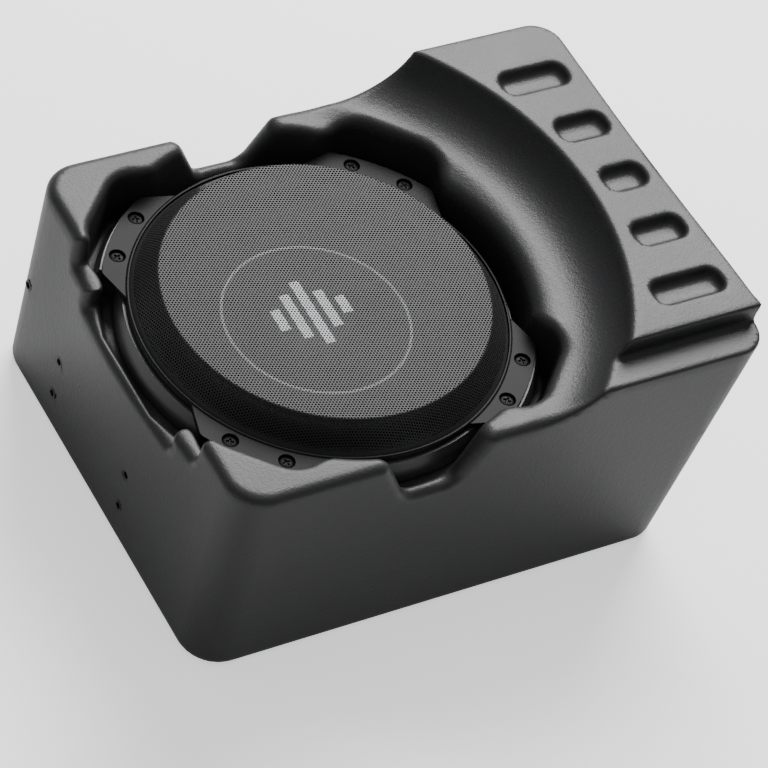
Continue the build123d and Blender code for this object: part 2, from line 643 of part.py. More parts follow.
def power_points():
    """The three power terminals, as x positions."""
    return [POWER_X - 10, POWER_X, POWER_X + 10]


def power_terminals():
    """The power terminal block with three wire mouths and screw wells."""
    face = BOARD_Y + BOARD_T
    body = block(POWER_X - 15.9, POWER_X + 15.9, face, FIN_TOP - 1, POWER_Z - 6.9, POWER_Z + 6.9)
    for x in power_points():
        body -= rod_y(3.2, x, POWER_Z - 2.0, PANEL_FRONT - 4, BOX_Y)
        body -= rod(2.6, POWER_Z + 2.9, POWER_Z + 8, x, PANEL_FRONT + 4)
    return body


def terminal_screws():
    """The three clamping screws of the power terminals."""
    screws = []
    for x in power_points():
        screw = rod(2.5, POWER_Z + 3.0, POWER_Z + 6.4, x, PANEL_FRONT + 4)
        screws.append(screw - block(x - 3, x + 3, PANEL_FRONT + 3.6, PANEL_FRONT + 4.4, POWER_Z + 5.4, POWER_Z + 7))
    return screws


def fuse_holder():
    """The holder of the blade fuse."""
    face = BOARD_Y + BOARD_T
    body = block(FUSE_X - 8.9, FUSE_X + 8.9, face, PANEL_FRONT + 1, FUSE_Z - 4.9, FUSE_Z + 4.9)
    for side in (-1, 1):
        body -= block(FUSE_X + side * 5.5 - 2.7, FUSE_X + side * 5.5 + 2.7, PANEL_FRONT - 8, BOX_Y,
                      FUSE_Z - 0.5, FUSE_Z + 0.5)
    return body


def fuse():
    """The blade fuse in its holder."""
    body = block(FUSE_X - 8.5, FUSE_X + 8.5, PANEL_FRONT + 1.1, PANEL_FRONT + 8, FUSE_Z - 2, FUSE_Z + 2)
    for side in (-1, 1):
        body += block(FUSE_X + side * 5.5 - 2.6, FUSE_X + side * 5.5 + 2.6, PANEL_FRONT - 7, PANEL_FRONT + 1.1,
                      FUSE_Z - 0.4, FUSE_Z + 0.4)
    return body


# ------------------------------------------------------------------ inside the box
def speaker_lead():
    """The two-core lead from the amplifier board to the driver's terminals."""
    start_x = DRIVER_X + 109.0
    route = [(start_x, 0, TERMINAL_Z), (start_x + 22, 0, TERMINAL_Z), (start_x + 36, 22, TERMINAL_Z - 8),
             (start_x + 32, 50, TERMINAL_Z - 22), (start_x + 20, 74, TERMINAL_Z - 34),
             (start_x + 12, 90, TERMINAL_Z - 38), (start_x + 12, BOARD_Y, TERMINAL_Z - 38)]
    radii = []
    for a, b, c in zip(route, route[1:], route[2:]):
        before, after = Vector(*b) - Vector(*a), Vector(*c) - Vector(*b)
        half_turn = math.radians(before.get_angle(after)) / 2
        radii.append(0.45 * min(before.length, after.length) / math.tan(half_turn))
    print("speaker_lead radii", [round(r, 1) for r in radii])
    path = FilletPolyline(*route, radius=radii)
    section = Plane(origin=route[0], z_dir=(1, 0, 0)) * Circle(2.4)
    lead = sweep(section, path=path)
    print("speaker_lead length", round(path.length, 1), "volume ratio",
          round(lead.volume / (math.pi * 2.4 ** 2 * path.length), 3))
    return lead


def damping_fill():
    """The fibre batt that lies on the floor of the box."""
    return block(50, 138, -122, 78, WALL + 0.3, 50)


def parts():
    """Every node of the subwoofer by name."""
    return {
        "enclosure_shell": enclosure_shell(),
        "bracket_inserts": end_inserts(bracket_points()),
        "strap_insert": end_inserts([(STRAP_Y, STRAP_Z)]),
        "mounting_ring": mounting_ring(),
        "ring_inserts": ring_inserts(),
        "driver_gasket": driver_gasket(),
        "basket": basket(),
        "terminal_block": terminal_block(),
        "push_terminals": push_terminals(),
        "trim_ring": trim_ring(),
        "trim_screws": trim_screws(),
        "grille": grille(),
        "surround": surround(),
        "cone": cone(),
        "dust_cap": dust_cap(),
        "coil_former": former(),
        "voice_coil": voice_coil(),
        "spider": spider(),
        "top_plate": top_plate(),
        "magnet": magnet(),
        "back_plate": back_plate(),
        "amp_gasket": amp_gasket(),
        "amp_panel": amp_panel(),
        "amp_screws": amp_screws(),
        "board_standoffs": board_standoffs(),
        "board_screws": board_screws(),
        "panel_screws": panel_screws(),
        "amp_board": amp_board(),
        "capacitors": capacitors(),
        "power_toroid": power_toroid(),
        "output_coils": output_coils(),
        "power_devices": power_devices(),
        "device_clamp": device_clamp(),
        "control_pots": control_pots(),
        "gain_knob": knob(KNOB_X[0]),
        "low_pass_knob": knob(KNOB_X[1]),
        "bass_boost_knob": knob(KNOB_X[2]),
        "phase_switch_body": phase_switch_body(),
        "phase_switch_slider": phase_switch_slider(),
        "led_lens": led_lens(),
        "rca_sockets": rca_sockets(),
        "high_level_socket": high_level_socket(),
        "remote_socket": remote_socket(),
        "power_terminals": power_terminals(),
        "terminal_screws": terminal_screws(),
        "fuse_holder": fuse_holder(),
        "fuse": fuse(),
        "speaker_lead": speaker_lead(),
        "damping_fill": damping_fill(),
    }


os.makedirs("parts", exist_ok=True)
for name, shape in parts().items():
    if isinstance(shape, list):
        shape = Compound(children=shape) if len(shape) > 1 else shape[0]
    export_step(shape, f"parts/{name}.step")
    print(name, round(shape.volume / 1000, 1), "cm3")
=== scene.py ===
# %% [markdown]
# # A car subwoofer box with its own amplifier
#
# This file is a lesson in cells. It dresses a finished CAD model: a hollow moulded box that
# fills a corner of a vehicle, a shallow driver behind a perforated steel grille, and an
# amplifier in a recess of the rear wall. The CAD says where everything is and what moves.
# Here we make the surfaces that a person sees and touches, and give each its finish.

# %% Load the CAD model
import json
import math

import bmesh
import bpy
import numpy as np
import openvdb
from mathutils import Matrix, Vector
from mathutils import noise as space_noise


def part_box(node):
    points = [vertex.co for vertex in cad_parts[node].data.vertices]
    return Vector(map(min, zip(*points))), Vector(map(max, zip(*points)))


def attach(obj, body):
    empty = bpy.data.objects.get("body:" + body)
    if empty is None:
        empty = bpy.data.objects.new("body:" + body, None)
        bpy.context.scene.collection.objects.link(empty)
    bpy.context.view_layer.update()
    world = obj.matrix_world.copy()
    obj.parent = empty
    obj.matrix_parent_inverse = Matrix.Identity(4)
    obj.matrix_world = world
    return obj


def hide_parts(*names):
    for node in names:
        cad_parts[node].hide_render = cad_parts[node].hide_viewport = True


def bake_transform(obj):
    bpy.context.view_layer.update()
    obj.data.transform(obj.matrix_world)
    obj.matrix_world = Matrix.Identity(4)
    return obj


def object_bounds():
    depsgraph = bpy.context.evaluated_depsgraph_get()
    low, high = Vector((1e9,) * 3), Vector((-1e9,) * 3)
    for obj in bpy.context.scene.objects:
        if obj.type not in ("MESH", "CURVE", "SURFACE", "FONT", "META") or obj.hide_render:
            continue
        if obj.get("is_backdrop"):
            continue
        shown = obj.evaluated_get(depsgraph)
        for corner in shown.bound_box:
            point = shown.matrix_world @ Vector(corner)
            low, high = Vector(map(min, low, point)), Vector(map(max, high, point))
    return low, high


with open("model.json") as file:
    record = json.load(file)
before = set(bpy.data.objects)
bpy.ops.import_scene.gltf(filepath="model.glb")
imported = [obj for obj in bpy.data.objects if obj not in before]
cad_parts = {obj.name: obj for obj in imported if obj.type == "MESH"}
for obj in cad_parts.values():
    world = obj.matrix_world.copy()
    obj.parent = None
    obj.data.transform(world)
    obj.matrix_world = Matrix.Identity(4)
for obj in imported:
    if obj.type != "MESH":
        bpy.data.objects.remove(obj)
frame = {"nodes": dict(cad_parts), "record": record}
bpy.context.view_layer.update()
MM = 0.001
cad_box = [list(corner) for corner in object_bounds()]
print("CAD box in mm:", [[round(v / MM, 1) for v in corner] for corner in cad_box])

# %% [markdown]
# ## The camera
#
# A product picture of a low, wide box is taken from above one corner with a long lens, so
# that its edges stay nearly parallel. We place the camera by three directions: its right,
# its up and its back. Long lenses flatter boxes, because a short one would make the near
# corner swell.

# %% Place the camera
CAMERA_RIGHT = Vector((0.85903, -0.46731, 0.20904))
CAMERA_UP = Vector((0.23537, 0.72314, 0.64936))
CAMERA_BACK = Vector((-0.45461, -0.50861, 0.73119))
CAMERA_PLACE = Vector((-1.14683, -1.30299, 1.91504))
LENS_MM = 185.47

camera_data = bpy.data.cameras.new("camera")
camera = bpy.data.objects.new("camera", camera_data)
bpy.context.collection.objects.link(camera)
camera_data.sensor_width = 36.0
camera_data.lens = LENS_MM
camera_data.clip_start = 0.1
camera_data.clip_end = 50.0
camera_turn = Matrix((CAMERA_RIGHT, CAMERA_UP, CAMERA_BACK)).transposed().to_4x4()
camera.matrix_world = Matrix.Translation(CAMERA_PLACE) @ camera_turn
bpy.context.scene.camera = camera
print("camera", round(LENS_MM), "mm lens,", round(CAMERA_PLACE.length, 2), "m away")

# %% [markdown]
# ## Helpers for meshes
#
# Most pieces below become a plain mesh object that rides on one body of the CAD model. These
# short helpers make the object, give it its material, and tie it to its body.


# %% Mesh helpers
def link(mesh, name):
    """A new object for a mesh, at the origin, unturned and unscaled."""
    thing = bpy.data.objects.new(name, mesh)
    bpy.context.collection.objects.link(thing)
    return thing


def mesh_from(name, points, faces):
    """A mesh from a list of points and a list of faces."""
    mesh = bpy.data.meshes.new(name)
    mesh.from_pydata([tuple(p) for p in points], [], [tuple(f) for f in faces])
    mesh.update()
    return mesh


def finish_piece(thing, material, body="box", replaces=()):
    """Gives a piece its material, ties it to its body and hides the CAD nodes that it replaces."""
    if not thing.data.materials:
        thing.data.materials.append(material)
    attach(thing, body)
    if replaces:
        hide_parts(*replaces)
    triangles = sum(len(f.vertices) - 2 for f in thing.data.polygons)
    print(f"{thing.name}: {triangles} triangles on {body}")
    return thing


# %% [markdown]
# ## Floor and light
#
# Black plastic shows almost nothing of its own colour: what we see is the light that it
# mirrors. One wide soft light stands high behind the box, so that every face that looks up
# turns grey. The pale floor throws light back onto the upright walls, and fades out at their
# foot, where the box shades it. Between the two, the round edges stay dark.


# %% Lights
def soft_light(name, place, target, width, depth, watts):
    """A rectangular soft light that points at a target."""
    data = bpy.data.lights.new(name, "AREA")
    data.shape = "RECTANGLE"
    data.size, data.size_y = width, depth
    data.energy = watts
    lamp = bpy.data.objects.new(name, data)
    bpy.context.collection.objects.link(lamp)
    lamp.location = place
    lamp.rotation_mode = "QUATERNION"
    lamp.rotation_quaternion = (Vector(target) - Vector(place)).to_track_quat("-Z", "Y")
    return lamp


KEY_WATTS, FILL_WATTS, TOP_WATTS, SKY_STRENGTH = 130.0, 1.0, 12.0, 0.24
soft_light("key", (1.15, 1.35, 1.85), (0.0, 0.0, 0.1), 1.7, 1.3, KEY_WATTS)
soft_light("top", (-0.3, -0.2, 2.6), (0.0, 0.0, 0.0), 2.2, 2.2, TOP_WATTS)
soft_light("left_fill", (-2.4, -0.3, 0.9), (0.0, 0.0, 0.1), 1.2, 1.0, FILL_WATTS)

world = bpy.data.worlds.new("studio")
bpy.context.scene.world = world
world.use_nodes = True
sky = world.node_tree.nodes["Background"].inputs
sky["Color"].default_value, sky["Strength"].default_value = (0.9, 0.92, 0.95, 1.0), SKY_STRENGTH

# %% [markdown]
# The floor is a wide pale sheet, as in a product studio, a hair under the box so that the two
# never share a plane. Light alone would leave it grey, so it glows a little, and the camera
# sees more of that glow than the box does.

# %% The floor
FLOOR_SIZE, FLOOR_Z_M, FLOOR_GLOW, FLOOR_SEEN = 14.0, -0.0004, 0.12, 0.75
floor_mesh = mesh_from("floor", [(x * FLOOR_SIZE, y * FLOOR_SIZE, FLOOR_Z_M) for x, y in
                                 ((-1, -1), (1, -1), (1, 1), (-1, 1))], [(0, 1, 2, 3)])
floor = link(floor_mesh, "floor")
floor_material = bpy.data.materials.new("studio_floor")
floor_material.use_nodes = True
floor_shader = floor_material.node_tree.nodes["Principled BSDF"]
floor_shader.inputs["Base Color"].default_value = (0.93, 0.93, 0.93, 1.0)
floor_shader.inputs["Roughness"].default_value = 0.9
floor_shader.inputs["Specular IOR Level"].default_value = 0.1
floor_shader.inputs["Emission Color"].default_value = (1.0, 1.0, 1.0, 1.0)
seen = floor_material.node_tree.nodes.new("ShaderNodeLightPath").outputs["Is Camera Ray"]
glow = floor_material.node_tree.nodes.new("ShaderNodeMath")
glow.operation = "MULTIPLY_ADD"
glow.inputs[1].default_value, glow.inputs[2].default_value = FLOOR_SEEN, FLOOR_GLOW
floor_material.node_tree.links.new(seen, glow.inputs[0])
floor_material.node_tree.links.new(glow.outputs[0], floor_shader.inputs["Emission Strength"])
floor_mesh.materials.append(floor_material)
floor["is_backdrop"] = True
print("floor", 2 * FLOOR_SIZE, "m wide")

# %% [markdown]
# ## Finishes
#
# Nearly everything here is black, and still no two blacks are alike. The box is rough from
# its mould, the trim ring is smooth and satin, the steel grille is powder coated. So the
# finishes share two groups of nodes and differ in their numbers. "Surface grain" gives the
# fine relief that scatters the light, and "uneven tone" gives the slow changes of colour and
# shine that keep a large face from looking painted by a computer.


# %% Helpers for shader nodes
def new_group(name, inputs, outputs):
    """An empty shader group with float or vector sockets."""
    group = bpy.data.node_groups.new(name, "ShaderNodeTree")
    for label, kind, value in inputs:
        item = group.interface.new_socket(label, in_out="INPUT", socket_type=kind)
        if value is not None:
            item.default_value = value
    for label, kind in outputs:
        group.interface.new_socket(label, in_out="OUTPUT", socket_type=kind)
    return group, group.nodes.new("NodeGroupInput"), group.nodes.new("NodeGroupOutput")


def maths(tree, operation, a, b=None, c=None, clamp=False):
    """A math node; each input is a socket or a number."""
    node = tree.nodes.new("ShaderNodeMath")
    node.operation, node.use_clamp = operation, clamp
    for slot, value in zip(node.inputs, (a, b, c)):
        if value is None:
            continue
        if isinstance(value, (int, float)):
            slot.default_value = value
        else:
            tree.links.new(value, slot)
    return node.outputs[0]


def noise(tree, vector, size, detail, roughness=0.55):
    """A noise value whose grains are about size across, in the units of the vector."""
    node = tree.nodes.new("ShaderNodeTexNoise")
    node.inputs["Detail"].default_value = detail
    node.inputs["Roughness"].default_value = roughness
    tree.links.new(vector, node.inputs["Vector"])
    if isinstance(size, (int, float)):
        node.inputs["Scale"].default_value = 1.0 / size
    else:
        tree.links.new(maths(tree, "DIVIDE", 1.0, size), node.inputs["Scale"])
    return node.outputs[0]


# %% [markdown]
# Two effects serve every finish. The grain group adds a fine noise and a slower ripple into
# one height. The tone group turns a broad noise into a factor for the colour, a change of
# shine and a mask of dust. Both read a position, so that they need no unwrapped surface.


# %% Grain and tone
def grain_group():
    """Fine relief: height from a coarse and a fine noise, whose sizes are in metres."""
    group, start, end = new_group(
        "surface grain",
        [("Vector", "NodeSocketVector", None), ("Grain", "NodeSocketFloat", 0.0008),
         ("Ripple", "NodeSocketFloat", 0.006), ("Ripple Share", "NodeSocketFloat", 0.3)],
        [("Height", "NodeSocketFloat")])
    fine = noise(group, start.outputs["Vector"], start.outputs["Grain"], 2.0)
    slow = noise(group, start.outputs["Vector"], start.outputs["Ripple"], 2.0)
    mixed = maths(group, "MULTIPLY_ADD", slow, start.outputs["Ripple Share"], fine)
    group.links.new(mixed, end.inputs["Height"])
    return group


def tone_group():
    """Slow changes: a factor round 1 for the colour and a change of roughness round 0."""
    group, start, end = new_group(
        "uneven tone",
        [("Vector", "NodeSocketVector", None), ("Patch", "NodeSocketFloat", 0.05),
         ("Colour Change", "NodeSocketFloat", 0.2), ("Shine Change", "NodeSocketFloat", 0.05),
         ("Dust", "NodeSocketFloat", 0.0)],
        [("Factor", "NodeSocketFloat"), ("Shine", "NodeSocketFloat"), ("Dust", "NodeSocketFloat")])
    patch = noise(group, start.outputs["Vector"], start.outputs["Patch"], 4.0)
    patch = maths(group, "SUBTRACT", patch, 0.5)
    factor = maths(group, "MULTIPLY_ADD", patch, start.outputs["Colour Change"], 1.0)
    shine = maths(group, "MULTIPLY", patch, start.outputs["Shine Change"])
    specks = noise(group, start.outputs["Vector"], 0.0016, 1.0)
    speck = maths(group, "SUBTRACT", specks, 0.66, clamp=True)
    speck = maths(group, "MULTIPLY", speck, 4.0, clamp=True)
    group.links.new(factor, end.inputs["Factor"])
    group.links.new(shine, end.inputs["Shine"])
    group.links.new(maths(group, "MULTIPLY", speck, start.outputs["Dust"]), end.inputs["Dust"])
    return group


GRAIN, TONE = grain_group(), tone_group()
print("node groups:", GRAIN.name, "and", TONE.name)


# %% [markdown]
# One recipe mixes every finish from the two groups and a row of numbers, because the black
# parts of a box differ by degree and not in kind. Where a finish is also printed, a function
# of its own says where the paint is.


# %% One recipe for every finish
def group_node(tree, group, **values):
    """A group node with its named inputs set; a socket is linked and a number is typed in."""
    node = tree.nodes.new("ShaderNodeGroup")
    node.node_tree = group
    for label, value in values.items():
        slot = node.inputs[label.replace("_", " ")]
        if isinstance(value, (int, float)):
            slot.default_value = value
        else:
            tree.links.new(value, slot)
    return node


def mix_colour(tree, factor, a, b):
    """A colour mix; a and b are sockets or RGB triples."""
    node = tree.nodes.new("ShaderNodeMix")
    node.data_type, node.blend_type = "RGBA", "MIX"
    slots = {"Factor": node.inputs[0], "A": node.inputs[6], "B": node.inputs[7]}
    for label, value in (("Factor", factor), ("A", a), ("B", b)):
        if isinstance(value, (int, float)):
            slots[label].default_value = value
        elif isinstance(value, tuple):
            slots[label].default_value = (*value, 1.0)
        else:
            tree.links.new(value, slots[label])
    return node.outputs[2]


def finish(name, colour, roughness, metallic=0.0, grain=0.0005, depth=0.00001, ripple=0.006,
           ripple_share=0.3, patch=0.004, change=0.3, shine=0.08, dust=0.0, coat=0.0,
           specular=0.5, stretch=(1.0, 1.0, 1.0), paint=None):
    """A procedural material. Sizes are in metres; depth is the height of the relief."""
    material = bpy.data.materials.new(name)
    material.use_nodes = True
    tree = material.node_tree
    shader = tree.nodes["Principled BSDF"]
    place = tree.nodes.new("ShaderNodeTexCoord").outputs["Object"]
    if stretch != (1.0, 1.0, 1.0):
        mapping = tree.nodes.new("ShaderNodeMapping")
        mapping.inputs["Scale"].default_value = stretch
        tree.links.new(place, mapping.inputs["Vector"])
        place = mapping.outputs[0]
    tone = group_node(tree, TONE, Vector=place, Patch=patch, Colour_Change=change,
                      Shine_Change=shine, Dust=dust)
    base = tree.nodes.new("ShaderNodeVectorMath")
    base.operation = "SCALE"
    base.inputs[0].default_value = colour
    tree.links.new(tone.outputs["Factor"], base.inputs["Scale"])
    shade = base.outputs[0]
    if dust:
        shade = mix_colour(tree, tone.outputs["Dust"], shade, (0.45, 0.44, 0.42))
    if paint:
        shade = mix_colour(tree, paint(tree, place), shade, (0.50, 0.51, 0.52))
    tree.links.new(shade, shader.inputs["Base Color"])
    tree.links.new(maths(tree, "ADD", tone.outputs["Shine"], roughness), shader.inputs["Roughness"])
    relief = group_node(tree, GRAIN, Vector=place, Grain=grain, Ripple=ripple,
                        Ripple_Share=ripple_share)
    bump = tree.nodes.new("ShaderNodeBump")
    bump.inputs["Strength"].default_value = 1.0
    bump.inputs["Distance"].default_value = depth
    tree.links.new(relief.outputs["Height"], bump.inputs["Height"])
    tree.links.new(bump.outputs["Normal"], shader.inputs["Normal"])
    shader.inputs["Metallic"].default_value = metallic
    shader.inputs["Coat Weight"].default_value = coat
    shader.inputs["Specular IOR Level"].default_value = specular
    return material


# %% [markdown]
# The grille carries a thin printed circle with a simple mark in it: five upright bars of
# different heights, like a level meter. It is paint on the steel, so it belongs to the
# finish and not to the mesh: distances from the circle's middle say where the paint is.


# %% The print on the grille
DISC_LOW, DISC_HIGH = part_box("grille")
MARK_LEFT, MARK_FRONT = 0.018, 0.021         # from the driver's axis
MARK_X, MARK_Y = (DISC_LOW.x + DISC_HIGH.x) / 2 - MARK_LEFT, -MARK_FRONT
MARK_R, MARK_LINE, LINE_SHARE = 0.0595, 0.0009, 0.35    # the circle is fainter than the bars
BAR_PITCH, BAR_WIDTH, BAR_UP = 0.0112, 0.0066, 0.006
BAR_HEIGHTS = (0.017, 0.036, 0.052, 0.030, 0.014)


def printed_mark(tree, place):
    """1 where the grille is printed and 0 elsewhere."""
    parts = tree.nodes.new("ShaderNodeSeparateXYZ")
    tree.links.new(place, parts.inputs[0])
    u = maths(tree, "SUBTRACT", parts.outputs[0], MARK_X)
    v = maths(tree, "SUBTRACT", parts.outputs[1], MARK_Y)
    squares = maths(tree, "ADD", maths(tree, "MULTIPLY", u, u), maths(tree, "MULTIPLY", v, v))
    reach = maths(tree, "SQRT", squares)
    off = maths(tree, "ABSOLUTE", maths(tree, "SUBTRACT", reach, MARK_R))
    paint = maths(tree, "MULTIPLY", maths(tree, "LESS_THAN", off, MARK_LINE), LINE_SHARE)
    for i, height in enumerate(BAR_HEIGHTS):
        middle = (i - 2) * BAR_PITCH
        near = maths(tree, "ABSOLUTE", maths(tree, "SUBTRACT", u, middle))
        inside = maths(tree, "LESS_THAN", near, BAR_WIDTH / 2)
        above = maths(tree, "ABSOLUTE", maths(tree, "SUBTRACT", v, BAR_UP))
        tall = maths(tree, "LESS_THAN", above, height / 2)
        paint = maths(tree, "MAXIMUM", paint, maths(tree, "MULTIPLY", inside, tall))
    return paint


# %% [markdown]
# Each row is one finish of the real box: its colour in daylight, its roughness, and how far
# apart and how deep its grains are, in metres. The moulded shell has the deepest grain of
# the outside, because polyethylene takes the texture of its mould, and metal has hardly any.

# %% The finishes of this box
# colour, roughness, and whatever differs from the recipe's own numbers
LOOKS = {
    "moulded_shell": ((0.020, 0.020, 0.021), 0.46, dict(grain=0.0011, depth=0.00017,
        ripple=0.0026, ripple_share=1.0, patch=0.08, shine=0.10, dust=0.06, specular=0.43)),
    "trim_moulding": ((0.008, 0.008, 0.009), 0.40, dict(ripple=0.01, patch=0.04, change=0.2,
        shine=0.06, dust=0.03, specular=0.07)),
    "cast_frame": ((0.030, 0.030, 0.031), 0.42, dict(grain=0.0007, depth=0.00003, patch=0.03,
        change=0.25)),
    "grille_steel": ((0.030, 0.030, 0.031), 0.44, dict(grain=0.0004, patch=0.05, change=0.15,
        shine=0.05, specular=0.22, paint=printed_mark)),
    "black_screw": ((0.012, 0.012, 0.012), 0.38, dict(grain=0.0004, change=0.4, shine=0.1,
        specular=0.06)),
    "brass": ((0.045, 0.042, 0.036), 0.45, dict(metallic=0.6, grain=0.0003, patch=0.003,
        change=0.4, shine=0.15)),
    "board_ring": ((0.30, 0.20, 0.11), 0.8, dict(grain=0.0012, depth=0.0001, patch=0.01,
        change=0.5, shine=0.1)),
    "foam": ((0.012, 0.012, 0.012), 0.95, dict(grain=0.0009, depth=0.0003, patch=0.02)),
    "black_moulding": ((0.015, 0.015, 0.016), 0.42, dict(depth=0.00002, patch=0.01, change=0.25)),
    "plated_contact": ((0.72, 0.60, 0.32), 0.25, dict(metallic=1.0, grain=0.0003, depth=0.000005,
        change=0.2, shine=0.12)),
    "surround_rubber": ((0.008, 0.008, 0.009), 0.6, dict(grain=0.0006, depth=0.00002, patch=0.02,
        shine=0.1, specular=0.12)),
    "cone_paper": ((0.016, 0.016, 0.017), 0.7, dict(grain=0.0012, depth=0.00012, ripple=0.004,
        ripple_share=0.8, patch=0.02, change=0.4, shine=0.1)),
    "cap_paper": ((0.02, 0.02, 0.021), 0.5, dict(grain=0.001, depth=0.00005, patch=0.02,
        shine=0.1)),
    "former_foil": ((0.75, 0.75, 0.76), 0.35, dict(metallic=1.0, patch=0.005, change=0.15,
        shine=0.1)),
    "copper": ((0.72, 0.30, 0.14), 0.3, dict(metallic=1.0, grain=0.0003, depth=0.00004,
        shine=0.1, stretch=(0.05, 0.05, 1.0))),
    "spider_cloth": ((0.30, 0.17, 0.06), 0.85, dict(depth=0.00015, patch=0.01, change=0.4)),
    "plated_steel": ((0.55, 0.56, 0.57), 0.35, dict(metallic=1.0, patch=0.006, change=0.2,
        shine=0.15)),
    "ferrite": ((0.035, 0.035, 0.038), 0.55, dict(grain=0.0007, depth=0.00006, patch=0.015,
        change=0.4, shine=0.15)),
    "anodised_panel": ((0.030, 0.030, 0.032), 0.38, dict(metallic=0.35, grain=0.0004, patch=0.03,
        change=0.2)),
    "circuit_board": ((0.015, 0.10, 0.035), 0.4, dict(grain=0.001, depth=0.00002, patch=0.006,
        change=0.5, shine=0.15)),
    "capacitor_sleeve": ((0.02, 0.03, 0.08), 0.35, dict(grain=0.0006, patch=0.01)),
    "knob_moulding": ((0.014, 0.014, 0.015), 0.40, dict(grain=0.0004, patch=0.006, change=0.25)),
    "switch_moulding": ((0.35, 0.02, 0.02), 0.4, dict(grain=0.0004, change=0.2)),
    "lens": ((0.10, 0.22, 0.45), 0.12, dict(grain=0.0006, depth=0.000003, patch=0.003,
        shine=0.05, coat=0.5)),
    "socket_moulding": ((0.02, 0.02, 0.021), 0.38, dict(patch=0.008, change=0.25)),
    "fuse_moulding": ((0.45, 0.30, 0.02), 0.25, dict(change=0.25)),
    "lead_jacket": ((0.02, 0.02, 0.02), 0.5, dict(patch=0.01, change=0.25)),
    "fibre": ((0.62, 0.62, 0.58), 0.95, dict(grain=0.0012, depth=0.0006, ripple=0.01,
        ripple_share=1.5, patch=0.03, change=0.25)),
}
FINISH = {name: finish(name, colour, roughness, **rest)
          for name, (colour, roughness, rest) in LOOKS.items()}
print(len(FINISH), "finishes")

# %% [markdown]
# Every CAD node that stays in view gets the finish of its own slot in the CAD record, so the
# two lists can't drift apart.

# %% Dress the CAD nodes
slot_of = {part["node"]: part["material_slot"] for part in frame["record"]["subparts"]}
for node, thing in frame["nodes"].items():
    thing.data.materials.clear()
    thing.data.materials.append(FINISH[slot_of[node]])
print("dressed", len(slot_of), "CAD nodes")

# %% [markdown]
# ## The moulded enclosure
#
# The real box is rotation moulded: plastic powder melts onto the inside of a turning mould,
# so the wall is hollow, every edge is soft and each corner has its own roundness. Boxes and
# bevels can't blend that many walls, notches and lobes, so we describe the form by distance:
# each rule below gives, at every point of a fine grid, how far that point is outside a wall.
# Cutting and joining are then a maximum and a minimum, and a rounded version of the maximum
# leaves a round edge of any radius. At the end the grid is turned into a skin.


# %% Joining and cutting by distance
def round_cut(a, b, radius):
    """The part inside both a and b, with the edge between them rounded."""
    u = np.maximum(a + radius, 0.0)
    v = np.maximum(b + radius, 0.0)
    return np.minimum(np.maximum(a, b), -radius) + np.hypot(u, v)


def round_join(a, b, radius):
    """Both a and b, with the inside corner between them filled to a radius."""
    return -round_cut(-a, -b, radius)


def blend_step(value, start, end):
    """0 before start, 1 after end, and a smooth change between."""
    t = np.clip((value - start) / (end - start), 0.0, 1.0)
    return t * t * (3.0 - 2.0 * t)


# %% [markdown]
# The sizes come from the CAD box and the CAD driver, and the rest are the box maker's own
# radii and drafts, in millimetres. A moulded wall always leans a little, so that the part
# comes out of its mould: the well's wall opens upwards, and so do the pockets.

# %% Sizes of the enclosure, in millimetres
shell_low, shell_high = [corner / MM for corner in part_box("enclosure_shell")]
ring_low, ring_high = [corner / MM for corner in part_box("trim_ring")]
gasket_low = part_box("driver_gasket")[0] / MM
AXIS_X = (ring_low.x + ring_high.x) / 2     # the driver's axis
PLATEAU_Z = shell_high.z
PAD_Z = PLATEAU_Z - 30.0
FLOOR_Z = gasket_low.z                      # floor of the well, where the gasket lies
LEFT_X, RIGHT_X = shell_low.x, shell_high.x
HALF_Y = shell_high.y
RIGHT_BASE_X = RIGHT_X - 29.0               # the right end leans outwards
FRONT_FLARE, FLARE_START = 5.5, -60.0       # and its front corner a little more
CORNER_LEFT, CORNER_RIGHT, BASE_EDGE = 26.0, 20.0, 7.0
WALL = 6.0
LEDGE_DROP, LEDGE_RUN = 9.0, 28.0           # the ledge by the plateau dips towards the driver
SWELL, SWELL_HALF, SWELL_FOOT = 5.5, 100.0, 25.0      # the left wall bulges round the driver
COVE_X, COVE_Y, COVE_FOOT, COVE_TOP = -77.0, 4.0, 172.0, 210.0
WELL_R, WELL_LEFT = 133.2, 2.5              # the well's middle is a little left of the driver's
LOBE_REACH, LOBE_HALF, LOBE_CORNER = 148.0, 36.0, 20.0
WELL_DRAFT, WELL_LIP, WELL_FOOT = 0.05, 6.0, 3.0
LOBE_FILLET, WELL_CLIP = 10.0, 131.5
FRONT_NOTCH, REAR_NOTCH = (-48.0, 125.5), (-53.5, 129.0)      # middle and floor height of each
NOTCH_HALF, NOTCH_SLOPE, NOTCH_ROUND, NOTCH_REACH = 16.5, 0.536, 5.0, 100.0
LEFT_DEEP, LEFT_SHELF = (-61.0, 56.0, 125.0), (-85.0, 78.0, 140.0)      # ends in y, and height
LEFT_SLOPE, LEFT_ROUND, LEFT_REACH = 0.12, 3.0, -110.0
POCKETS = ((148.0, 50.0), (157.0, 38.0), (161.0, 32.0), (159.0, 38.0), (152.0, 52.0))
POCKET_Y, POCKET_PITCH, POCKET_HALF, POCKET_DEEP, POCKET_LEAN = 97.5, 47.5, 10.4, 7.6, 0.36
STEP_X, STEP_DEEP, STEP_Z, STEP_ROUND = 64.0, 22.0, 177.5, 2.5
RECESS_X, RECESS_Z, RECESS_HALF_X, RECESS_HALF_Z, RECESS_Y = 72.0, 67.0, 67.0, 53.0, 130.0


# %% [markdown]
# The form is a sum of simple ideas. Four walls with round corners make the outside. The top
# is the level of the corner pads, and a block behind a cove climbs from there to the plateau.
# Then the well, the notches, the step, the pockets and the amplifier's recess are cut away.


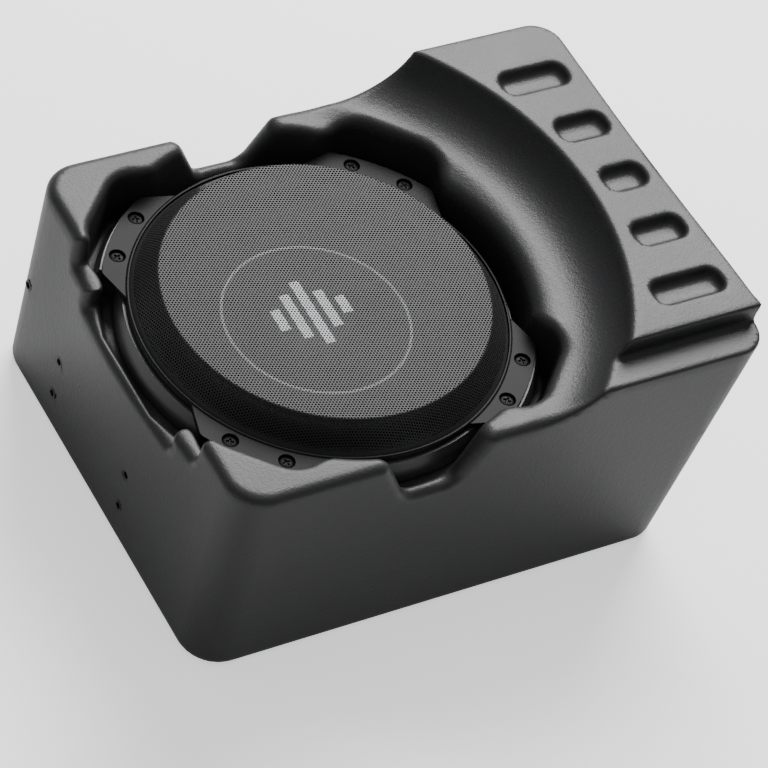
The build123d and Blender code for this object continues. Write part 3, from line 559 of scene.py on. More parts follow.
# %% The walls, the top and the well as distances
def outer_walls(x, y, z):
    """The four side walls and the base, with the bulge round the driver in the left wall."""
    flare = FRONT_FLARE * blend_step(-y, FLARE_START, HALF_Y)
    lean = (RIGHT_X + flare - RIGHT_BASE_X) / PLATEAU_Z
    swell = SWELL * np.clip(1.0 - (y / SWELL_HALF) ** 2, 0.0, 1.0) ** 2
    swell = swell * blend_step(z, SWELL_FOOT, PAD_Z - 20.0)
    left = LEFT_X - swell - x
    right = (x - RIGHT_BASE_X - lean * z) / np.hypot(1.0, lean)
    ends = np.abs(y) - HALF_Y
    walls = np.maximum(round_cut(left, ends, CORNER_LEFT), round_cut(right, ends, CORNER_RIGHT))
    return round_cut(walls, -z, BASE_EDGE)


def top_surface(x, y, z):
    """The pads, the dipping ledge and the plateau behind its cove."""
    reach = np.hypot(x - COVE_X, y - COVE_Y)
    rise, run = PLATEAU_Z - PAD_Z, COVE_TOP - COVE_FOOT
    radius = (rise ** 2 + run ** 2) / (2 * rise)
    hollow = radius - np.hypot(reach - COVE_FOOT, z - PAD_Z - radius)
    plateau = np.maximum(round_cut(z - PLATEAU_Z, hollow, 3.0), COVE_FOOT - reach)
    near = blend_step(-reach, -COVE_FOOT, LEDGE_RUN - COVE_FOOT) * blend_step(x, -10.0, 50.0)
    return np.minimum(z - PAD_Z + LEDGE_DROP * near, plateau)


def well(x, y, z):
    """The driver's well: a circle with four lobes, opening slightly upwards."""
    dx = x - AXIS_X
    outline = np.hypot(dx + WELL_LEFT, y + 0.5) - WELL_R
    for angle in (45, 135, 225, 315):
        c, s = math.cos(math.radians(angle)), math.sin(math.radians(angle))
        along, across = dx * c + y * s, -dx * s + y * c
        lobe = round_cut(along - LOBE_REACH, np.abs(across) - LOBE_HALF, LOBE_CORNER)
        lobe = np.maximum(lobe, -along)
        outline = round_join(outline, lobe, LOBE_FILLET)
    outline = np.maximum(outline, -WELL_CLIP - dx)
    return round_cut(outline - WELL_DRAFT * (z - FLOOR_Z), FLOOR_Z - z, WELL_FOOT)


# %% [markdown]
# The smaller cuts come next: the notches in the rim, the step and the stadium pockets of the
# plateau, and the recess for the amplifier. Each is a distance of its own, so that each gets
# the radius that its edge has on a moulded box.


# %% The notches, the step, the pockets and the recess
def wall_notch(x, y, z, middle, floor, side):
    """The sloping-sided notch in the front (side -1) or rear (side 1) wall."""
    half = NOTCH_HALF + NOTCH_SLOPE * (z - floor)
    sides = (np.abs(x - middle) - half) / math.hypot(1.0, NOTCH_SLOPE)
    return np.maximum(round_cut(sides, floor - z, NOTCH_ROUND), NOTCH_REACH - side * y)


def left_notch(x, y, z):
    """The wide notch in the left wall, with a shelf at each end."""
    start, end, floor = LEFT_DEEP
    deep = round_cut(np.maximum(start - y, y - end), floor - z, LEFT_ROUND)
    start, end, floor = LEFT_SHELF
    sides = np.maximum(start - y, y - end) - LEFT_SLOPE * (z - floor)
    shelf = round_cut(sides, floor - z, LEFT_ROUND)
    return np.maximum(np.minimum(deep, shelf), x - LEFT_REACH)


def step(x, y, z):
    """The step along the plateau's front edge, with a round left end."""
    middle = STEP_X + STEP_DEEP
    outline = np.hypot(np.minimum(x - middle, 0.0), y + HALF_Y) - STEP_DEEP
    return round_cut(outline, STEP_Z - z, STEP_ROUND)


def pocket(x, y, z, middle_x, middle_y, length):
    """One finger pocket in the plateau, with leaning sides."""
    outline = round_cut(np.abs(x - middle_x) - length / 2, np.abs(y - middle_y) - POCKET_HALF, 8.5)
    outline = outline + POCKET_LEAN * (PLATEAU_Z - z)
    return round_cut(outline, PLATEAU_Z - POCKET_DEEP - z, 4.0)


def recess(x, y, z):
    """The amplifier's recess in the rear wall."""
    outline = round_cut(np.abs(x - RECESS_X) - RECESS_HALF_X,
                        np.abs(z - RECESS_Z) - RECESS_HALF_Z, 4.0)
    return round_cut(outline, RECESS_Y - y, 2.5)


def enclosure_form(x, y, z):
    """Distance outside the enclosure's outer skin, negative inside it."""
    form = round_cut(top_surface(x, y, z), -well(x, y, z), WELL_LIP)
    form = round_cut(form, -wall_notch(x, y, z, *FRONT_NOTCH, -1), NOTCH_ROUND)
    form = round_cut(form, -wall_notch(x, y, z, *REAR_NOTCH, 1), NOTCH_ROUND)
    form = round_cut(form, -left_notch(x, y, z), 3.5)
    form = round_cut(form, -step(x, y, z), 2.2)
    reach = np.hypot(x - COVE_X, y - COVE_Y)
    near_step = blend_step(x, STEP_X, STEP_X + 14.0) * blend_step(-y, 110.0, 122.0)
    edge = 7.5 - 3.5 * blend_step(reach, COVE_FOOT, COVE_TOP)
    edge = edge - (edge - 2.4) * near_step
    form = round_cut(outer_walls(x, y, z), form, edge)
    for i, (middle_x, length) in enumerate(POCKETS):
        spot = pocket(x, y, z, middle_x, POCKET_Y - i * POCKET_PITCH, length)
        form = round_cut(form, -spot, 2.2)
    return round_cut(form, -recess(x, y, z), 2.5)


# %% [markdown]
# Now the grid. The same form, measured a wall's thickness further in, is the cavity, and the
# holes for the driver, the amplifier and the five threaded inserts go through both. OpenVDB
# turns the grid into faces, with large ones where the skin is flat. Each vertex gets its
# normal from the slope of the distances, so that light runs over the skin without facets.


# %% The hollow shell with its holes
OPENING_R, OPENING_HALF_Z = 114.0, 14.0                  # for the driver
HATCH_HALF_X, HATCH_HALF_Z, HATCH_HALF_Y = 55.0, 41.0, 12.0      # behind the amplifier panel
INSERT_R, HOLE_OPEN_R, HOLE_DEEP, HOLE_ROUND = 3.6, 3.5, 13.0, 1.3
GRID_MARGIN = 9.0


def shell_distances(x, y, z):
    """Distance outside the hollow shell, holes included."""
    form = enclosure_form(x, y, z)
    shell = np.maximum(form, -WALL - form)
    opening = np.maximum(np.hypot(x - AXIS_X, y) - OPENING_R, np.abs(z - FLOOR_Z) - OPENING_HALF_Z)
    shell = np.maximum(shell, -opening)
    hatch = np.maximum(np.abs(x - RECESS_X) - HATCH_HALF_X, np.abs(z - RECESS_Z) - HATCH_HALF_Z)
    shell = np.maximum(shell, -np.maximum(hatch, np.abs(y - RECESS_Y) - HATCH_HALF_Y))
    for node in ("bracket_inserts", "strap_insert"):
        for hole_y, hole_z in insert_places(node):
            hole = np.hypot(y - hole_y, z - hole_z) - HOLE_OPEN_R
            shell = round_cut(shell, -np.maximum(hole, x - LEFT_X - HOLE_DEEP), HOLE_ROUND)
    return shell


def insert_places(node):
    """The (y, z) middles of the inserts in the left wall, from the CAD node's own box."""
    low, high = [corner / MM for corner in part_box(node)]
    r = INSERT_R
    ys, zs = {low.y + r, high.y - r}, {low.z + r, high.z - r}
    if high.y - low.y < 4 * r:
        ys, zs = {(low.y + high.y) / 2}, {(low.z + high.z) / 2}
    return [(a, b) for a in sorted(ys) for b in sorted(zs)]


def sample(field, places):
    """The value of a gridded field at points given in grid steps, by linear steps between."""
    base = np.clip(np.floor(places).astype(int), 0, np.array(field.shape) - 2)
    part = places - base
    total = np.zeros(len(places))
    for corner in np.ndindex(2, 2, 2):
        weight = np.prod(np.where(corner, part, 1.0 - part), axis=1)
        i, j, k = (base + corner).T
        total += weight * field[i, j, k]
    return total


# %% [markdown]
# The grid holds the distance at each of its points, and the skin lies where it is zero. On
# the outer skin the normals come from the form without its holes, so that their edges stay
# crisp.

# %% From the grid to a mesh
BAND_STEPS, SKIN_STEPS = 3.0, 1.1       # of the grid: the band it keeps, and what counts as skin


def make_enclosure(grid_step, adaptivity):
    """The enclosure's mesh from its distances on a grid."""
    low = np.array(shell_low) - GRID_MARGIN
    counts = np.ceil((np.array(shell_high) + GRID_MARGIN - low) / grid_step).astype(int)
    axes = [(low[i] + grid_step * np.arange(counts[i])).astype(np.float32) for i in range(3)]
    x, y, z = axes[0][:, None, None], axes[1][None, :, None], axes[2][None, None, :]
    field = shell_distances(x, y, z).astype(np.float32)
    reach = BAND_STEPS * grid_step
    grid = openvdb.FloatGrid(reach)
    grid.copyFromArray(np.clip(field, -reach, reach))
    points, triangles, quads = grid.convertToPolygons(isovalue=0.0, adaptivity=adaptivity)
    faces = [tuple(int(v) for v in f) for group in (triangles, quads) for f in group]
    skin = enclosure_form(x, y, z).astype(np.float32)
    outside = (np.abs(sample(skin, points)) < SKIN_STEPS * grid_step)[:, None]
    inner, outer = (np.stack([sample(g, points) for g in np.gradient(f)], axis=1)
                    for f in (field, skin))
    slopes = np.where(outside, outer, inner)
    slopes /= np.linalg.norm(slopes, axis=1, keepdims=True) + 1e-9
    mesh = mesh_from("enclosure", (low + points * grid_step) * MM, faces)
    mesh.polygons.foreach_set("use_smooth", [True] * len(mesh.polygons))
    mesh.normals_split_custom_set_from_vertices([tuple(n) for n in slopes])
    print("enclosure grid", tuple(counts), "faces", len(faces))
    return mesh


# %% [markdown]
# A step of 1.2 mm keeps the mesh light. The small radii still look round, because the normals
# come from the form and not from the faces.

# %% Make the enclosure
ENCLOSURE_GRID, ENCLOSURE_ADAPT = 1.2, 0.04
enclosure = link(make_enclosure(ENCLOSURE_GRID, ENCLOSURE_ADAPT), "enclosure")
finish_piece(enclosure, FINISH["moulded_shell"], replaces=("enclosure_shell",))

# %% [markdown]
# ## The grille
#
# The grille is one pressed sheet of steel with some twelve thousand holes in staggered rows.
# The holes were punched first, in flat sheet, and then the dish was pressed, so the rows run
# on over the edge and down the skirt. Geometry Nodes does it in the same order: a flat grid
# of points in staggered rows, one six-sided cell with a hole on each, the cells welded into
# a sheet, and then the sheet bent into the dish by a rule on each point's distance from the
# middle. Each cell has few faces, because there are so many.


# %% One cell of the perforated sheet
def hole_cell(pitch, hole, sheet):
    """A six-sided cell with a six-sided hole, open at its outer edge where it meets the next."""
    corner = pitch / math.sqrt(3.0)
    points, faces = [], []
    for radius, z in ((corner, 0.0), (hole, 0.0), (hole, -sheet), (corner, -sheet)):
        for i in range(6):
            angle = math.radians(60 * i + 30)
            points.append((radius * math.cos(angle), radius * math.sin(angle), z))
    for ring in range(3):
        for i in range(6):
            a, b = 6 * ring + i, 6 * ring + (i + 1) % 6
            faces.append((a, b, b + 6, a + 6))
    return mesh_from("hole_cell", points, faces)


# %% [markdown]
# Every tree of nodes is built from the same few moves, so a small kit makes them: a tree with
# named inputs, a node with its links, a sum of two sockets, and the bake that turns the
# result into a plain mesh. The bake sets each input by its socket's identifier.


# %% A small kit for Geometry Nodes
def node_tree(name, sockets):
    """A Geometry Nodes tree with a Geometry input and output and the named inputs."""
    tree = bpy.data.node_groups.new(name, "GeometryNodeTree")
    tree.interface.new_socket("Geometry", in_out="INPUT", socket_type="NodeSocketGeometry")
    for label, kind in sockets:
        tree.interface.new_socket(label, in_out="INPUT", socket_type=kind)
    tree.interface.new_socket("Geometry", in_out="OUTPUT", socket_type="NodeSocketGeometry")
    return tree, tree.nodes.new("NodeGroupInput"), tree.nodes.new("NodeGroupOutput")


def add(tree, kind, links=None, **settings):
    """A node with its settings, and with inputs linked or typed in by name or number."""
    node = tree.nodes.new(kind)
    for label, value in settings.items():
        setattr(node, label, value)
    for label, value in (links or {}).items():
        slot = node.inputs[label]
        if isinstance(value, bpy.types.NodeSocket):
            tree.links.new(value, slot)
        else:
            slot.default_value = value
    return node


def gmath(tree, operation, a, b=None, c=None):
    """A math node in a geometry tree."""
    links = {i: v for i, v in enumerate((a, b, c)) if v is not None}
    return add(tree, "ShaderNodeMath", links, operation=operation).outputs[0]


def bake(thing, tree, values, name):
    """Runs a tree on an object with the given inputs; the result is a plain mesh object."""
    modifier = thing.modifiers.new("build", "NODES")
    modifier.node_group = tree
    for item in tree.interface.items_tree:
        if item.item_type == "SOCKET" and item.in_out == "INPUT" and item.name in values:
            modifier[item.identifier] = values[item.name]
    evaluated = thing.evaluated_get(bpy.context.evaluated_depsgraph_get())
    mesh = bpy.data.meshes.new_from_object(evaluated)
    bpy.data.objects.remove(thing)
    mesh.name = name
    return link(mesh, name)


# %% [markdown]
# The tree reads like the press shop. It staggers the rows of a flat grid, keeps the points
# within one sector, sets a cell on each, welds the sheet and turns it. Then it bends the
# sheet: a point past the flat part goes on along the skirt by the same length of steel.

# %% The grille's tree
WELD_SHARE = 0.02        # points this share of the pitch apart are welded


def grille_tree():
    """Flat staggered rows of cells, welded, cut to one sector of a disc and bent into the dish."""
    tree, start, end = node_tree("perforated dish", [
        ("Pitch", "NodeSocketFloat"), ("Row Turn", "NodeSocketFloat"), ("Rows", "NodeSocketInt"),
        ("Reach", "NodeSocketFloat"), ("Sector Low", "NodeSocketFloat"),
        ("Sector High", "NodeSocketFloat"), ("Flat Radius", "NodeSocketFloat"),
        ("Bend", "NodeSocketFloat"), ("Lean", "NodeSocketFloat"), ("Centre", "NodeSocketVector"),
        ("Cell", "NodeSocketObject"), ("Material", "NodeSocketMaterial")])
    pin = start.outputs
    row_step = gmath(tree, "MULTIPLY", pin["Pitch"], math.sqrt(3.0) / 2.0)
    count = gmath(tree, "SUBTRACT", pin["Rows"], 1.0)
    size_x = gmath(tree, "MULTIPLY", count, pin["Pitch"])
    size_y = gmath(tree, "MULTIPLY", count, row_step)
    grid = add(tree, "GeometryNodeMeshGrid", {"Size X": size_x, "Size Y": size_y,
                                              "Vertices X": pin["Rows"], "Vertices Y": pin["Rows"]})
    place = add(tree, "GeometryNodeInputPosition").outputs[0]
    parts = add(tree, "ShaderNodeSeparateXYZ", {0: place}).outputs
    row = gmath(tree, "ROUND", gmath(tree, "DIVIDE", parts[1], row_step))
    odd = gmath(tree, "FLOORED_MODULO", row, 2.0)
    shift = gmath(tree, "MULTIPLY", gmath(tree, "MULTIPLY", odd, pin["Pitch"]), 0.5)
    offset = add(tree, "ShaderNodeCombineXYZ", {0: shift}).outputs[0]
    moved = add(tree, "GeometryNodeSetPosition",
                {"Geometry": grid.outputs[0], "Offset": offset}).outputs[0]
    place2 = add(tree, "GeometryNodeInputPosition").outputs[0]
    parts2 = add(tree, "ShaderNodeSeparateXYZ", {0: place2}).outputs
    reach = add(tree, "ShaderNodeVectorMath", {0: place2}, operation="LENGTH").outputs["Value"]
    angle = gmath(tree, "ARCTAN2", parts2[1], parts2[0])
    keep = gmath(tree, "MULTIPLY", gmath(tree, "LESS_THAN", reach, pin["Reach"]),
                 gmath(tree, "MULTIPLY", gmath(tree, "GREATER_THAN", angle, pin["Sector Low"]),
                       gmath(tree, "LESS_THAN", angle, pin["Sector High"])))
    dropped = gmath(tree, "SUBTRACT", 1.0, keep)
    kept = add(tree, "GeometryNodeDeleteGeometry",
               {"Geometry": moved, "Selection": dropped}).outputs[0]
    cell = add(tree, "GeometryNodeObjectInfo", {"Object": pin["Cell"]}).outputs["Geometry"]
    cells = add(tree, "GeometryNodeInstanceOnPoints", {"Points": kept, "Instance": cell}).outputs[0]
    sheet = add(tree, "GeometryNodeRealizeInstances", {"Geometry": cells}).outputs[0]
    weld = gmath(tree, "MULTIPLY", pin["Pitch"], WELD_SHARE)
    sheet = add(tree, "GeometryNodeMergeByDistance",
                {"Geometry": sheet, "Distance": weld}).outputs[0]
    turn = add(tree, "ShaderNodeCombineXYZ", {2: pin["Row Turn"]}).outputs[0]
    turned = add(tree, "GeometryNodeTransform", {"Geometry": sheet, "Rotation": turn}).outputs[0]
    # the dish: past the flat part, a point goes on along the skirt
    place3 = add(tree, "GeometryNodeInputPosition").outputs[0]
    parts3 = add(tree, "ShaderNodeSeparateXYZ", {0: place3}).outputs
    flat3 = add(tree, "ShaderNodeCombineXYZ", {0: parts3[0], 1: parts3[1]}).outputs[0]
    far = add(tree, "ShaderNodeVectorMath", {0: flat3}, operation="LENGTH").outputs["Value"]
    past = gmath(tree, "SUBTRACT", far, pin["Flat Radius"])
    soft = gmath(tree, "SMOOTH_MAX", past, 0.0, pin["Bend"])
    out = gmath(tree, "MULTIPLY", soft, gmath(tree, "COSINE", pin["Lean"]))
    ratio = gmath(tree, "DIVIDE", gmath(tree, "ADD", gmath(tree, "SUBTRACT", far, soft), out), far)
    drop = gmath(tree, "MULTIPLY", soft, gmath(tree, "SINE", pin["Lean"]))
    # the sheet keeps its thickness: its lower face also moves inwards on the skirt
    bent = gmath(tree, "MINIMUM", gmath(tree, "DIVIDE", soft, pin["Bend"]), 1.0)
    inward = gmath(tree, "MULTIPLY", gmath(tree, "MULTIPLY", parts3[2], bent),
                   gmath(tree, "SINE", pin["Lean"]))
    ratio = gmath(tree, "ADD", ratio, gmath(tree, "DIVIDE", inward, far))
    down = gmath(tree, "SUBTRACT", parts3[2], drop)
    position = add(tree, "ShaderNodeCombineXYZ", {
        0: gmath(tree, "MULTIPLY", parts3[0], ratio),
        1: gmath(tree, "MULTIPLY", parts3[1], ratio), 2: down}).outputs[0]
    placed = add(tree, "ShaderNodeVectorMath", {0: position, 1: pin["Centre"]},
                 operation="ADD").outputs[0]
    dish = add(tree, "GeometryNodeSetPosition", {"Geometry": turned, "Position": placed}).outputs[0]
    done = add(tree, "GeometryNodeSetMaterial",
               {"Geometry": dish, "Material": pin["Material"]}).outputs[0]
    tree.links.new(done, end.inputs[0])
    return tree


# %% [markdown]
# One mesh for the whole sheet would be too heavy to share, so three sectors are baked from
# the same tree. Each cell goes whole to one sector, so the seams follow the cells' own edges.

# %% Make the grille in three sectors
grille_low, grille_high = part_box("grille")
FOOT_GROWTH = 0.0016          # the sheet reaches this far under the trim ring's lip
FLAT_R, FOOT_R = 0.1056, (grille_high.x - grille_low.x) / 2 + FOOT_GROWTH
PITCH, HOLE_R, SHEET, ROWS, BEND = 0.00205, 0.00078, 0.0006, 141, 0.0012
SKIRT_DROP, RIM_BAND = 0.0195, 0.0036
LEAN = math.atan2(SKIRT_DROP, FOOT_R - FLAT_R)
SKIRT = math.hypot(SKIRT_DROP, FOOT_R - FLAT_R)
ROW_TURN = math.radians(-17.8)
SECTORS, SEAM = 3, 1e-4      # the seam turns aside of the rows, so that no cell is lost or doubled
driver_top = Vector((AXIS_X * MM, 0.0, grille_high.z))

cell = link(hole_cell(PITCH, HOLE_R, SHEET), "hole_cell")
dish_tree = grille_tree()
grille_parts = []
for i in range(SECTORS):
    low = -math.pi + 2 * math.pi / SECTORS * i
    carrier = link(mesh_from("carrier", [(0, 0, 0)], []), "carrier")
    sector = bake(carrier, dish_tree, {
        "Pitch": PITCH, "Row Turn": ROW_TURN, "Rows": ROWS, "Reach": FLAT_R + SKIRT - RIM_BAND,
        "Sector Low": low + SEAM,
        "Sector High": low + 2 * math.pi / SECTORS + (SEAM if i + 1 < SECTORS else 1.0),
        "Flat Radius": FLAT_R, "Bend": BEND, "Lean": LEAN, "Centre": driver_top,
        "Cell": cell, "Material": FINISH["grille_steel"]}, f"grille_sector_{i + 1}")
    grille_parts.append(sector)
bpy.data.objects.remove(cell)
for sector in grille_parts:
    finish_piece(sector, FINISH["grille_steel"])
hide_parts("grille")

# %% [markdown]
# The sheet's rim is a plain band without holes, which sits in the gutter of the trim ring. A
# turned piece is a closed outline swept about the driver's axis, so one helper makes every
# such ring.


# %% Turned rings
def turned(name, outline, segments=192, smooth_angle=35.0):
    """A ring from a closed outline of (radius, height) in metres, about the driver's axis."""
    count = len(outline)
    points, faces = [], []
    for i in range(segments):
        angle = 2 * math.pi * i / segments
        c, s = math.cos(angle), math.sin(angle)
        points += [(AXIS_X * MM + r * c, r * s, z) for r, z in outline]
    for i in range(segments):
        j = (i + 1) % segments
        for a in range(count):
            b = (a + 1) % count
            faces.append((count * i + a, count * j + a, count * j + b, count * i + b))
    mesh = mesh_from(name, points, faces)
    tidy_mesh(mesh, smooth_angle)
    return link(mesh, name)


def tidy_mesh(mesh, smooth_angle, merge=1e-6):
    """Merges doubles, turns faces outwards and smooths every edge blunter than an angle."""
    work = bmesh.new()
    work.from_mesh(mesh)
    bmesh.ops.remove_doubles(work, verts=work.verts, dist=merge)
    bmesh.ops.recalc_face_normals(work, faces=work.faces)
    for face in work.faces:
        face.smooth = True
    for edge in work.edges:
        edge.smooth = edge.calc_face_angle(math.pi) < math.radians(smooth_angle)
    work.to_mesh(mesh)
    work.free()
    mesh.update()


# %% [markdown]
# The rim laps a little over the edge of the perforated sheet, then drops straight down into
# the gutter of the trim ring.

# %% The grille's rim
RIM_PROUD, RIM_LAP, FOLD_LOW, FOLD_HIGH = 0.00005, 0.0003, 0.0004, 0.0016
RIM_RISE = RIM_BAND * math.sin(LEAN) + RIM_LAP
rim_top = grille_high.z - SKIRT_DROP + RIM_RISE
rim_slope = RIM_RISE / math.tan(LEAN)
rim_foot = grille_low.z
grille_rim = turned("grille_rim", [
    (FOOT_R - rim_slope + RIM_PROUD, rim_top), (FOOT_R + RIM_PROUD, rim_top - RIM_RISE),
    (FOOT_R + RIM_PROUD, rim_foot), (FOOT_R - SHEET, rim_foot),
    (FOOT_R - SHEET, rim_top - RIM_RISE - FOLD_LOW),
    (FOOT_R - rim_slope - SHEET, rim_top - FOLD_HIGH)])
finish_piece(grille_rim, FINISH["grille_steel"])

# %% [markdown]
# ## Parts that the CAD already shapes well
#
# The trim ring, the driver's frame and the amplifier panel come from the CAD with the right
# outline but with edges as sharp as a knife, and no real edge is. We copy such a mesh, weld
# its loose triangles, and run a small bevel along its sharp edges, so that each edge catches
# a thin line of light.


# %% Bevelled copies of CAD nodes
CAD_WELD, FLAT_ANGLE = 2e-6, 0.5       # metres, and degrees between faces that count as one


def bevelled(node, width, body="box", segments=2, angle=32.0):
    """A copy of a CAD node's mesh with its sharp edges rounded; it replaces the node."""
    mesh = frame["nodes"][node].data.copy()
    mesh.name = node + "_finished"
    work = bmesh.new()
    work.from_mesh(mesh)
    bmesh.ops.remove_doubles(work, verts=work.verts, dist=CAD_WELD)
    bmesh.ops.dissolve_degenerate(work, edges=work.edges, dist=1e-6)
    bmesh.ops.dissolve_limit(work, angle_limit=math.radians(FLAT_ANGLE), verts=work.verts,
                             edges=work.edges)
    for face in work.faces:
        face.smooth = True
    work.to_mesh(mesh)
    work.free()
    thing = link(mesh, node + "_finished")
    bevel = thing.modifiers.new("edge", "BEVEL")
    bevel.width, bevel.segments = width, segments
    bevel.limit_method, bevel.angle_limit = "ANGLE", math.radians(angle)
    bevel.use_clamp_overlap = True
    bevel.harden_normals = True
    thing.modifiers.new("even", "WEIGHTED_NORMAL").keep_sharp = True
    evaluated = thing.evaluated_get(bpy.context.evaluated_depsgraph_get())
    baked = bpy.data.meshes.new_from_object(evaluated)
    thing.modifiers.clear()
    thing.data = baked
    baked.name = node + "_finished"
    return finish_piece(thing, FINISH[slot_of[node]], body, replaces=(node,))


for node, width in (("trim_ring", 0.00035), ("basket", 0.0006), ("amp_panel", 0.0003),
                    ("amp_gasket", 0.0002), ("high_level_socket", 0.0002),
                    ("remote_socket", 0.0002),
                    ("power_terminals", 0.00025), ("fuse_holder", 0.0002), ("fuse", 0.0002),
                    ("rca_sockets", 0.0002), ("led_lens", 0.0001)):
    bevelled(node, width)
for node in ("gain_knob", "low_pass_knob", "bass_boost_knob", "phase_switch_slider"):
    bevelled(node, 0.0002, body=node)

# %% [markdown]
# ## The soft rings of the driver
#
# The rubber surround and the cloth spider hold the cone in its middle and let it slide. Their
# outer rims are glued to the frame and their inner rims move with the cone. Here each is a
# still ring, left where the CAD places it.


# %% Rings of the driver
def shared_by_radius(thing):
    """Bakes a ring's placement into its mesh; the ring stays still and does not follow the cone."""
    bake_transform(thing)
    return thing


def ribbon(line, thick):
    """A closed outline from a line of (radius, height), thickened downwards."""
    return list(line) + [(r, z - thick) for r, z in reversed(line)]


# %% [markdown]
# The surround is half a roll of rubber between two flat lands. The outer land is glued to the
# frame, and the roll opens and closes as the cone moves.

# %% The surround
surround_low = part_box("surround")[0]
ROLL_MID, ROLL_OUT, RUBBER, LAND_IN, LAND_OUT = 0.100, 0.0088, 0.0008, 0.086, 0.1192
land_z = surround_low.z + RUBBER
ROLL_STEPS = 24
roll = [(LAND_IN, land_z)] + [
    (ROLL_MID - ROLL_OUT * math.cos(math.pi * i / ROLL_STEPS),
     land_z + ROLL_OUT * math.sin(math.pi * i / ROLL_STEPS))
    for i in range(ROLL_STEPS + 1)] + [(LAND_OUT, land_z)]
surround = turned("surround_roll", ribbon(roll, RUBBER), smooth_angle=50.0)
surround.data.materials.append(FINISH["surround_rubber"])
shared_by_radius(surround)
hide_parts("surround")
print("surround roll", round(2 * ROLL_OUT / MM, 1), "mm wide")

# %% [markdown]
# The spider is a disc of stiffened cloth, pressed into waves so that it gives along the axis
# and holds the coil in the middle of its gap.

# %% The spider
spider_low, spider_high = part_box("spider")
CLOTH_IN, WAVE_IN, WAVE_OUT, CLOTH_OUT, WAVES, CLOTH = 0.02585, 0.030, 0.063, 0.078, 5, 0.0008
wave_mid = (spider_low.z + spider_high.z) / 2
wave_high = (spider_high.z - spider_low.z) / 2 - CLOTH / 2
STEPS = 8 * WAVES
cloth = [(CLOTH_IN, wave_mid)] + [
    (WAVE_IN + (WAVE_OUT - WAVE_IN) * i / STEPS,
     wave_mid + CLOTH / 2 + wave_high * math.sin(2 * math.pi * WAVES * i / STEPS))
    for i in range(STEPS + 1)
] + [(WAVE_OUT + 0.001, wave_mid), (CLOTH_OUT, wave_mid)]
spider = turned("spider_disc", ribbon(cloth, CLOTH), smooth_angle=60.0)
spider.data.materials.append(FINISH["spider_cloth"])
shared_by_radius(spider)
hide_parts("spider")
print("spider", WAVES, "waves")

# %% [markdown]
# ## Screws
#
# Sixteen screws of two sizes have the same pan head with a cross in it. One head is made as a
# height field over a round grid, and Geometry Nodes puts it on each place with its own turn,
# because nobody stops every screw at the same angle.


# %% One screw
ARM_HALF, ARM_EDGE = 0.13, 0.10          # of the cross, as shares of the head's radius
RIM_SHARE, DOME_POWER = 0.45, 2.6        # the head's rim height and how flat its dome is


def screw_mesh(head_r, head_h, shank_r, length, arm, depth):
    """A closed screw along +Z with its seat at z = 0: a domed head, a cross and a plain shank."""
    rings, around = 16, 48
    points, faces = [], []
    for k in range(rings + 1):
        r = head_r * k / rings
        for i in range(around):
            angle = 2 * math.pi * i / around
            x, y = r * math.cos(angle), r * math.sin(angle)
            dome = math.sqrt(max(1.0 - (r / head_r) ** DOME_POWER, 0.0))
            dome = head_h * (RIM_SHARE + (1.0 - RIM_SHARE) * dome)
            slot_x = max(abs(y) - ARM_HALF * head_r, abs(x) - arm)
            slot_y = max(abs(x) - ARM_HALF * head_r, abs(y) - arm)
            t = min(max(0.5 - min(slot_x, slot_y) / (ARM_EDGE * head_r), 0.0), 1.0)
            points.append((x, y, dome - depth * t * t * (3 - 2 * t)))
    for radius, z in ((head_r, 0.0), (shank_r, 0.0), (shank_r, -length + shank_r),
                      (shank_r * 0.2, -length)):
        for i in range(around):
            angle = 2 * math.pi * i / around
            points.append((radius * math.cos(angle), radius * math.sin(angle), z))
    rows = rings + 4
    for k in range(rows):
        for i in range(around):
            j = (i + 1) % around
            faces.append((around * k + i, around * (k + 1) + i,
                          around * (k + 1) + j, around * k + j))
    faces.append(tuple(around * rows + i for i in range(around)))
    mesh = mesh_from("screw", points, faces)
    tidy_mesh(mesh, 50.0)
    return mesh


# %% [markdown]
# The tree sets one screw on each point of a mesh. Tip lays the screws over for an upright
# panel, and each is turned a little further than the one before.


# %% A set of screws
def screw_tree():
    """One screw on each point of a mesh, tipped to its face and turned by its number."""
    tree, start, end = node_tree("set of screws", [
        ("Screw", "NodeSocketObject"), ("Tip", "NodeSocketFloat"), ("Turn Each", "NodeSocketFloat"),
        ("Material", "NodeSocketMaterial")])
    pin = start.outputs
    screw = add(tree, "GeometryNodeObjectInfo", {"Object": pin["Screw"]}).outputs["Geometry"]
    number = add(tree, "GeometryNodeInputIndex").outputs[0]
    turn = gmath(tree, "MULTIPLY", number, pin["Turn Each"])
    spin = add(tree, "ShaderNodeCombineXYZ", {0: pin["Tip"]}).outputs[0]
    placed = add(tree, "GeometryNodeInstanceOnPoints", {
        "Points": pin["Geometry"], "Instance": screw, "Rotation": spin}).outputs[0]
    twist = add(tree, "ShaderNodeCombineXYZ", {2: turn}).outputs[0]
    turned_all = add(tree, "GeometryNodeRotateInstances", {"Instances": placed, "Rotation": twist})
    real = add(tree, "GeometryNodeRealizeInstances", {"Geometry": turned_all.outputs[0]}).outputs[0]
    done = add(tree, "GeometryNodeSetMaterial",
               {"Geometry": real, "Material": pin["Material"]}).outputs[0]
    tree.links.new(done, end.inputs[0])
    return tree


def set_of_screws(name, node, places, tip, mesh):
    """A finished set of screws on places, replacing a CAD node of screws."""
    screw = link(mesh, "one_screw")
    carrier = link(mesh_from("carrier", places, []), "carrier")
    thing = bake(carrier, SCREW_TREE, {
        "Screw": screw, "Tip": tip, "Turn Each": math.radians(TURN_EACH),
        "Material": FINISH["black_screw"]}, name)
    bpy.data.objects.remove(screw)
    return finish_piece(thing, FINISH["black_screw"], replaces=(node,))


